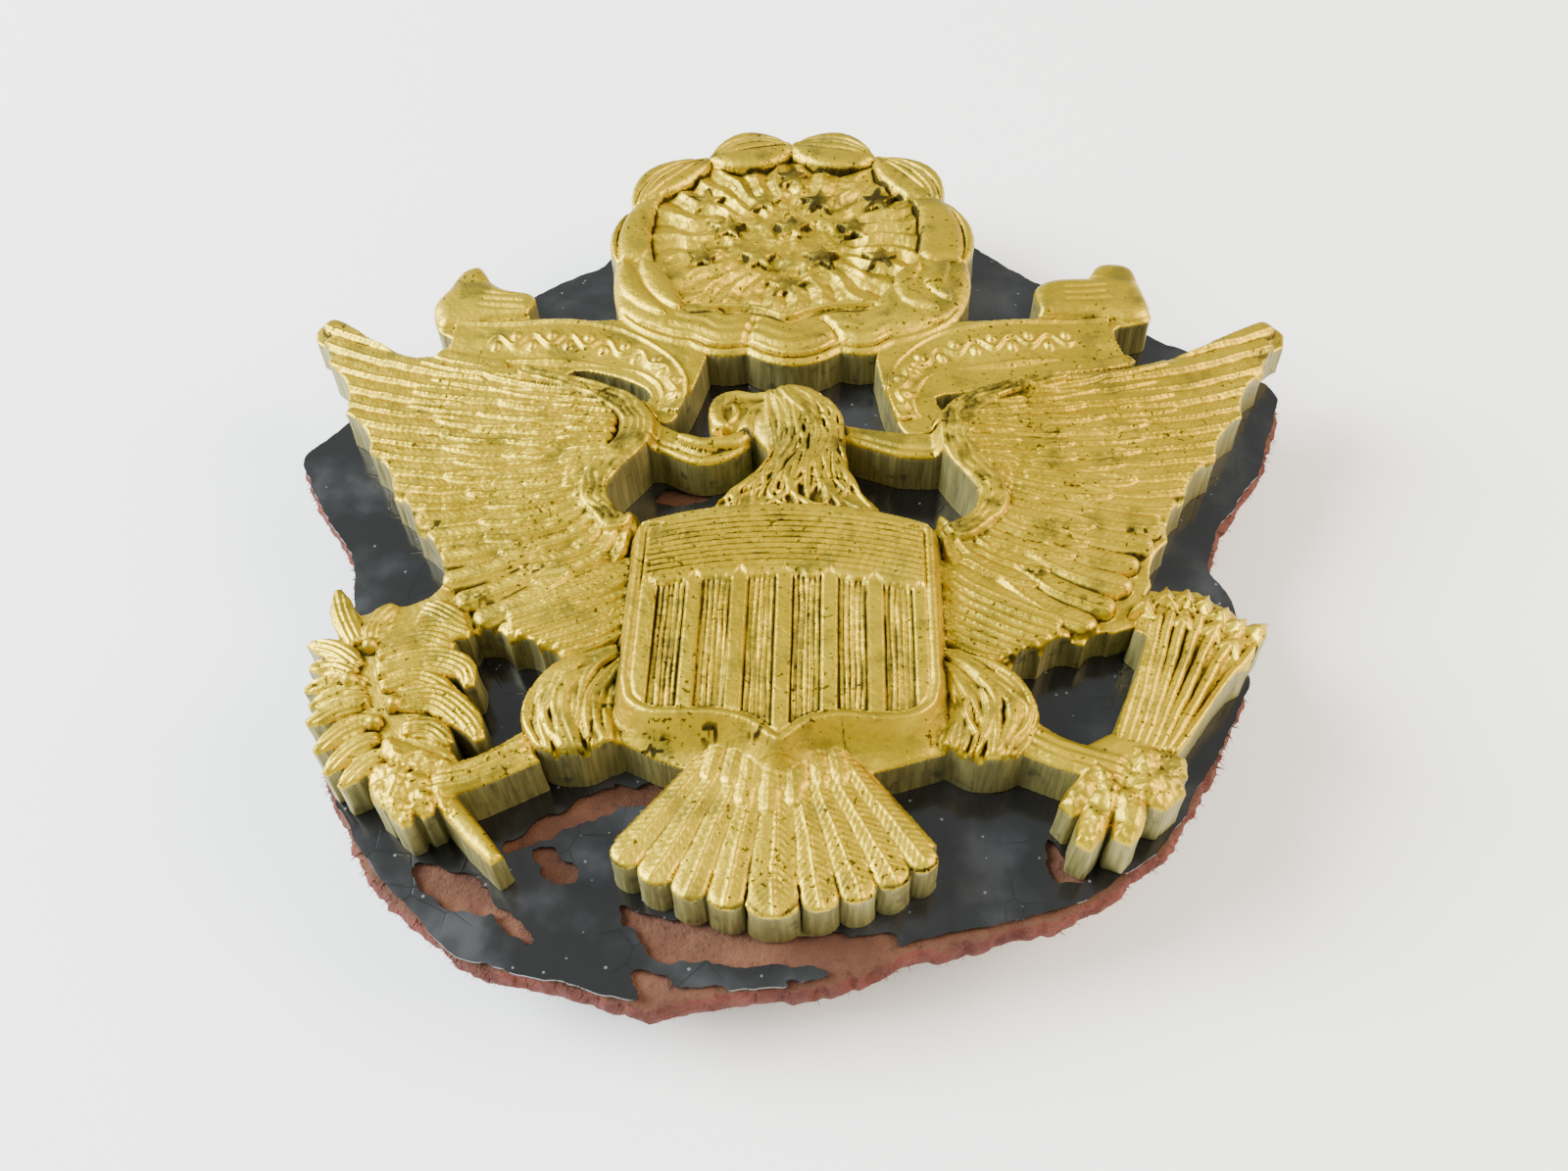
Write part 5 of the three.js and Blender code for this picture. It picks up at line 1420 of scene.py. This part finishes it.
class BADGE_OT_fittings(bpy.types.Operator):
    """Turns the post, pins, solder, washer and knurled nut behind the badge"""

    bl_idname = "badge.fittings"
    bl_label = "Post, pins, washer and nut"

    def execute(self, context):
        brass, tin = turned_brass(), soft_solder()
        for node in ("threaded_post", "upper_locating_pin", "lower_locating_pin"):
            self.peg(node, brass)
        for node, inner in SOLDER_BORES:
            self.fillet(node, inner, tin)
        self.washer(brass)
        self.nut(brass)
        return {"FINISHED"}

    def peg(self, node, material):
        """A round bar with a chamfered end; the post has a screw thread cut along a helix."""
        low, high = in_mm(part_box(node))
        radius = (high[0] - low[0]) / 2
        chamfer = 0.18 * radius
        threaded = node == "threaded_post"
        heights = [low[2] + chamfer]
        if threaded:
            heights = np.arange(low[2] + chamfer, high[2] - 0.9, SCREW_PITCH / 8)
        rows = [(0, low[2]), (radius - 2 * chamfer, low[2])] + [(radius - 0.01, z) for z in heights]
        rows += [(radius - 0.01, high[2]), (0, high[2])]

        def thread(r, z, turn):
            """A V groove along the helix, left out near the foot."""
            return -(0.17 * helix(z, turn)) * (r > radius - 0.1) * (z < high[2] - 0.85)

        piece = turned(node + "_bar", rows, (low[1] + high[1]) / 2, 64, thread if threaded else None)
        finish_piece(piece, "badge", node, "plain_brass", material)

    def fillet(self, node, inner, material):
        """A ring of solder whose edge wavers like a flowed puddle."""
        low, high = in_mm(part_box(node))
        reach = (high[0] - low[0]) / 2 - inner
        rise = high[2] - low[2]
        t = np.linspace(0, 1, 9)
        curve = [(inner + reach * s, low[2] + rise * 0.94 * (1 - (1 - s) ** 2) ** 0.8) for s in t]
        rows = [(inner, high[2])] + curve + [(inner + reach, high[2])]

        def waver(r, z, turn):
            """The outer edge drawn in unevenly, the bore left round."""
            uneven = 0.5 + 0.5 * np.sin(3 * turn + 1) * np.sin(7 * turn)
            return -0.12 * reach * uneven * (r - inner) / reach

        piece = turned(node + "_ring", rows, (low[1] + high[1]) / 2, 72, waver)
        finish_piece(piece, "badge", node, "solder", material)

    def washer(self, material):
        """A flat ring with broken edges."""
        low, high = in_mm(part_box("flat_washer"))
        bore, rim, chip = NUT_BORE, (high[0] - low[0]) / 2, 0.08
        rows = [(bore, low[2] + chip), (bore + chip, low[2]), (rim - chip, low[2]), (rim, low[2] + chip),
                (rim, high[2] - chip), (rim - chip, high[2]), (bore + chip, high[2]), (bore, high[2] - chip)]
        piece = turned("washer_ring", rows, (low[1] + high[1]) / 2, 128)
        finish_piece(piece, "washer", "flat_washer", "plain_brass", material)

    def nut(self, material):
        """A thumb nut: knurled rim, dished face, hub and a threaded bore."""
        low, high = in_mm(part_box("knurled_nut"))
        rim, bore, hub, disc = (high[0] - low[0]) / 2, NUT_BORE, 4.5, 2.2
        z0 = low[2]
        rows = [(bore, z0 + 0.3), (bore + 0.25, z0), (hub + 1, z0), (hub + 1.4, z0 + 0.25),
                (rim - 1.6, z0 + 0.25), (rim - 1.2, z0), (rim - 0.35, z0), (rim, z0 + 0.35),
                (rim, z0 + disc - 0.35), (rim - 0.35, z0 + disc), (hub + 0.2, z0 + disc),
                (hub, z0 + disc + 0.2), (hub, high[2] - 0.2), (hub - 0.2, high[2]),
                (bore + 0.25, high[2]), (bore, high[2] - 0.3)]
        rows += [(bore, z) for z in np.arange(high[2] - 0.4, z0 + 0.35, -SCREW_PITCH / 8)]

        def shape(r, z, turn):
            """Knurl grooves on the rim and a helical thread in the bore."""
            knurl = -0.3 * np.clip(np.cos(48 * turn), -0.2, 1) * (r > rim - 0.1)
            tapped = (r < bore + 0.01) * (z > z0 + 0.32) * (z < high[2] - 0.32)
            screw = 0.15 * helix(z, turn) * tapped
            return knurl - 0.06 * (r > rim - 0.1) + screw

        piece = turned("thumb_nut", rows, (low[1] + high[1]) / 2, 480, shape)
        finish_piece(piece, "nut", "knurled_nut", "plain_brass", material)


class BADGE_OT_stage(bpy.types.Operator):
    """Lays the floor, hangs the soft lights and stands the camera"""

    bl_idname = "badge.stage"
    bl_label = "Floor, lights and camera"

    def execute(self, context):
        s = context.scene.badge_stage
        e, yaw, roll = s.pitch, s.yaw, s.roll
        forward = Vector((0, math.cos(e), -math.sin(e)))
        right = Vector((1, 0, 0))
        down = Vector((0, -math.sin(e), -math.cos(e)))
        spin = Matrix.Rotation(yaw, 3, "Z")
        forward, right, down = spin @ forward, spin @ right, spin @ down
        across = math.cos(roll) * right + math.sin(roll) * down
        under = -math.sin(roll) * right + math.cos(roll) * down
        camera = new_object("camera", bpy.data.cameras.new("camera"))
        camera.data.lens = s.lens
        camera.data.sensor_width = 36
        camera.data.clip_start = 0.001
        turn = Matrix((across, -under, -forward)).transposed().to_4x4()
        camera.matrix_world = Matrix.Translation(Vector(s.camera_at)) @ turn
        context.scene.camera = camera
        half = s.floor_half
        mesh = bpy.data.meshes.new("floor")
        sheet = [(-half, -half, 0), (half, -half, 0), (half, half, 0), (-half, half, 0)]
        mesh.from_pydata(sheet, [], [(0, 1, 2, 3)])
        mesh.materials.append(studio_paper())
        floor = new_object("floor", mesh)
        for name, at, size, power, tint in (
            ("window_light", (-0.45, 0.02, 0.32), 0.36, 13.0, "#F4FAFF"),
            ("side_fill", (0.4, 0.0, 0.3), 0.3, 4.5, "#FFE9CC"),
        ):
            lamp = bpy.data.lights.new(name, "AREA")
            lamp.shape = "SQUARE"
            lamp.size = size
            lamp.energy = power
            lamp.color = paint(tint)[:3]
            light = new_object(name, lamp)
            light.location = at
            light.rotation_euler = (-Vector(at)).to_track_quat("-Z", "Y").to_euler()
        world = bpy.data.worlds.new("studio")
        world.use_nodes = True
        sky = world.node_tree.nodes["Background"]
        sky.inputs["Color"].default_value = paint("#E4EAE8")
        sky.inputs["Strength"].default_value = 1.08
        context.scene.world = world
        return {"FINISHED"}


class BADGE_PT_panel(bpy.types.Panel):
    """Lists the steps that build the badge"""

    bl_idname = "BADGE_PT_panel"
    bl_label = "Cap badge"
    bl_space_type = "VIEW_3D"
    bl_region_type = "UI"
    bl_category = "Badge"

    def draw(self, context):
        for operator in OPERATORS:
            self.layout.operator(operator.bl_idname)


OPERATORS = (BADGE_OT_striking, BADGE_OT_leather, BADGE_OT_fittings, BADGE_OT_stage)
CLASSES = (BadgeSettings, StageSettings) + OPERATORS + (BADGE_PT_panel,)


def register():
    for cls in CLASSES:
        bpy.utils.register_class(cls)
    bpy.types.Scene.badge_settings = PointerProperty(type=BadgeSettings)
    bpy.types.Scene.badge_stage = PointerProperty(type=StageSettings)


def unregister():
    del bpy.types.Scene.badge_stage
    del bpy.types.Scene.badge_settings
    for cls in reversed(CLASSES):
        bpy.utils.unregister_class(cls)


def main():
    """Registers the add-on and runs its operators in order."""
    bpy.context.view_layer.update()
    register()
    bpy.ops.badge.striking()
    bpy.ops.badge.leather()
    bpy.ops.badge.fittings()
    bpy.ops.badge.stage()


if __name__ == "__main__":
    main()
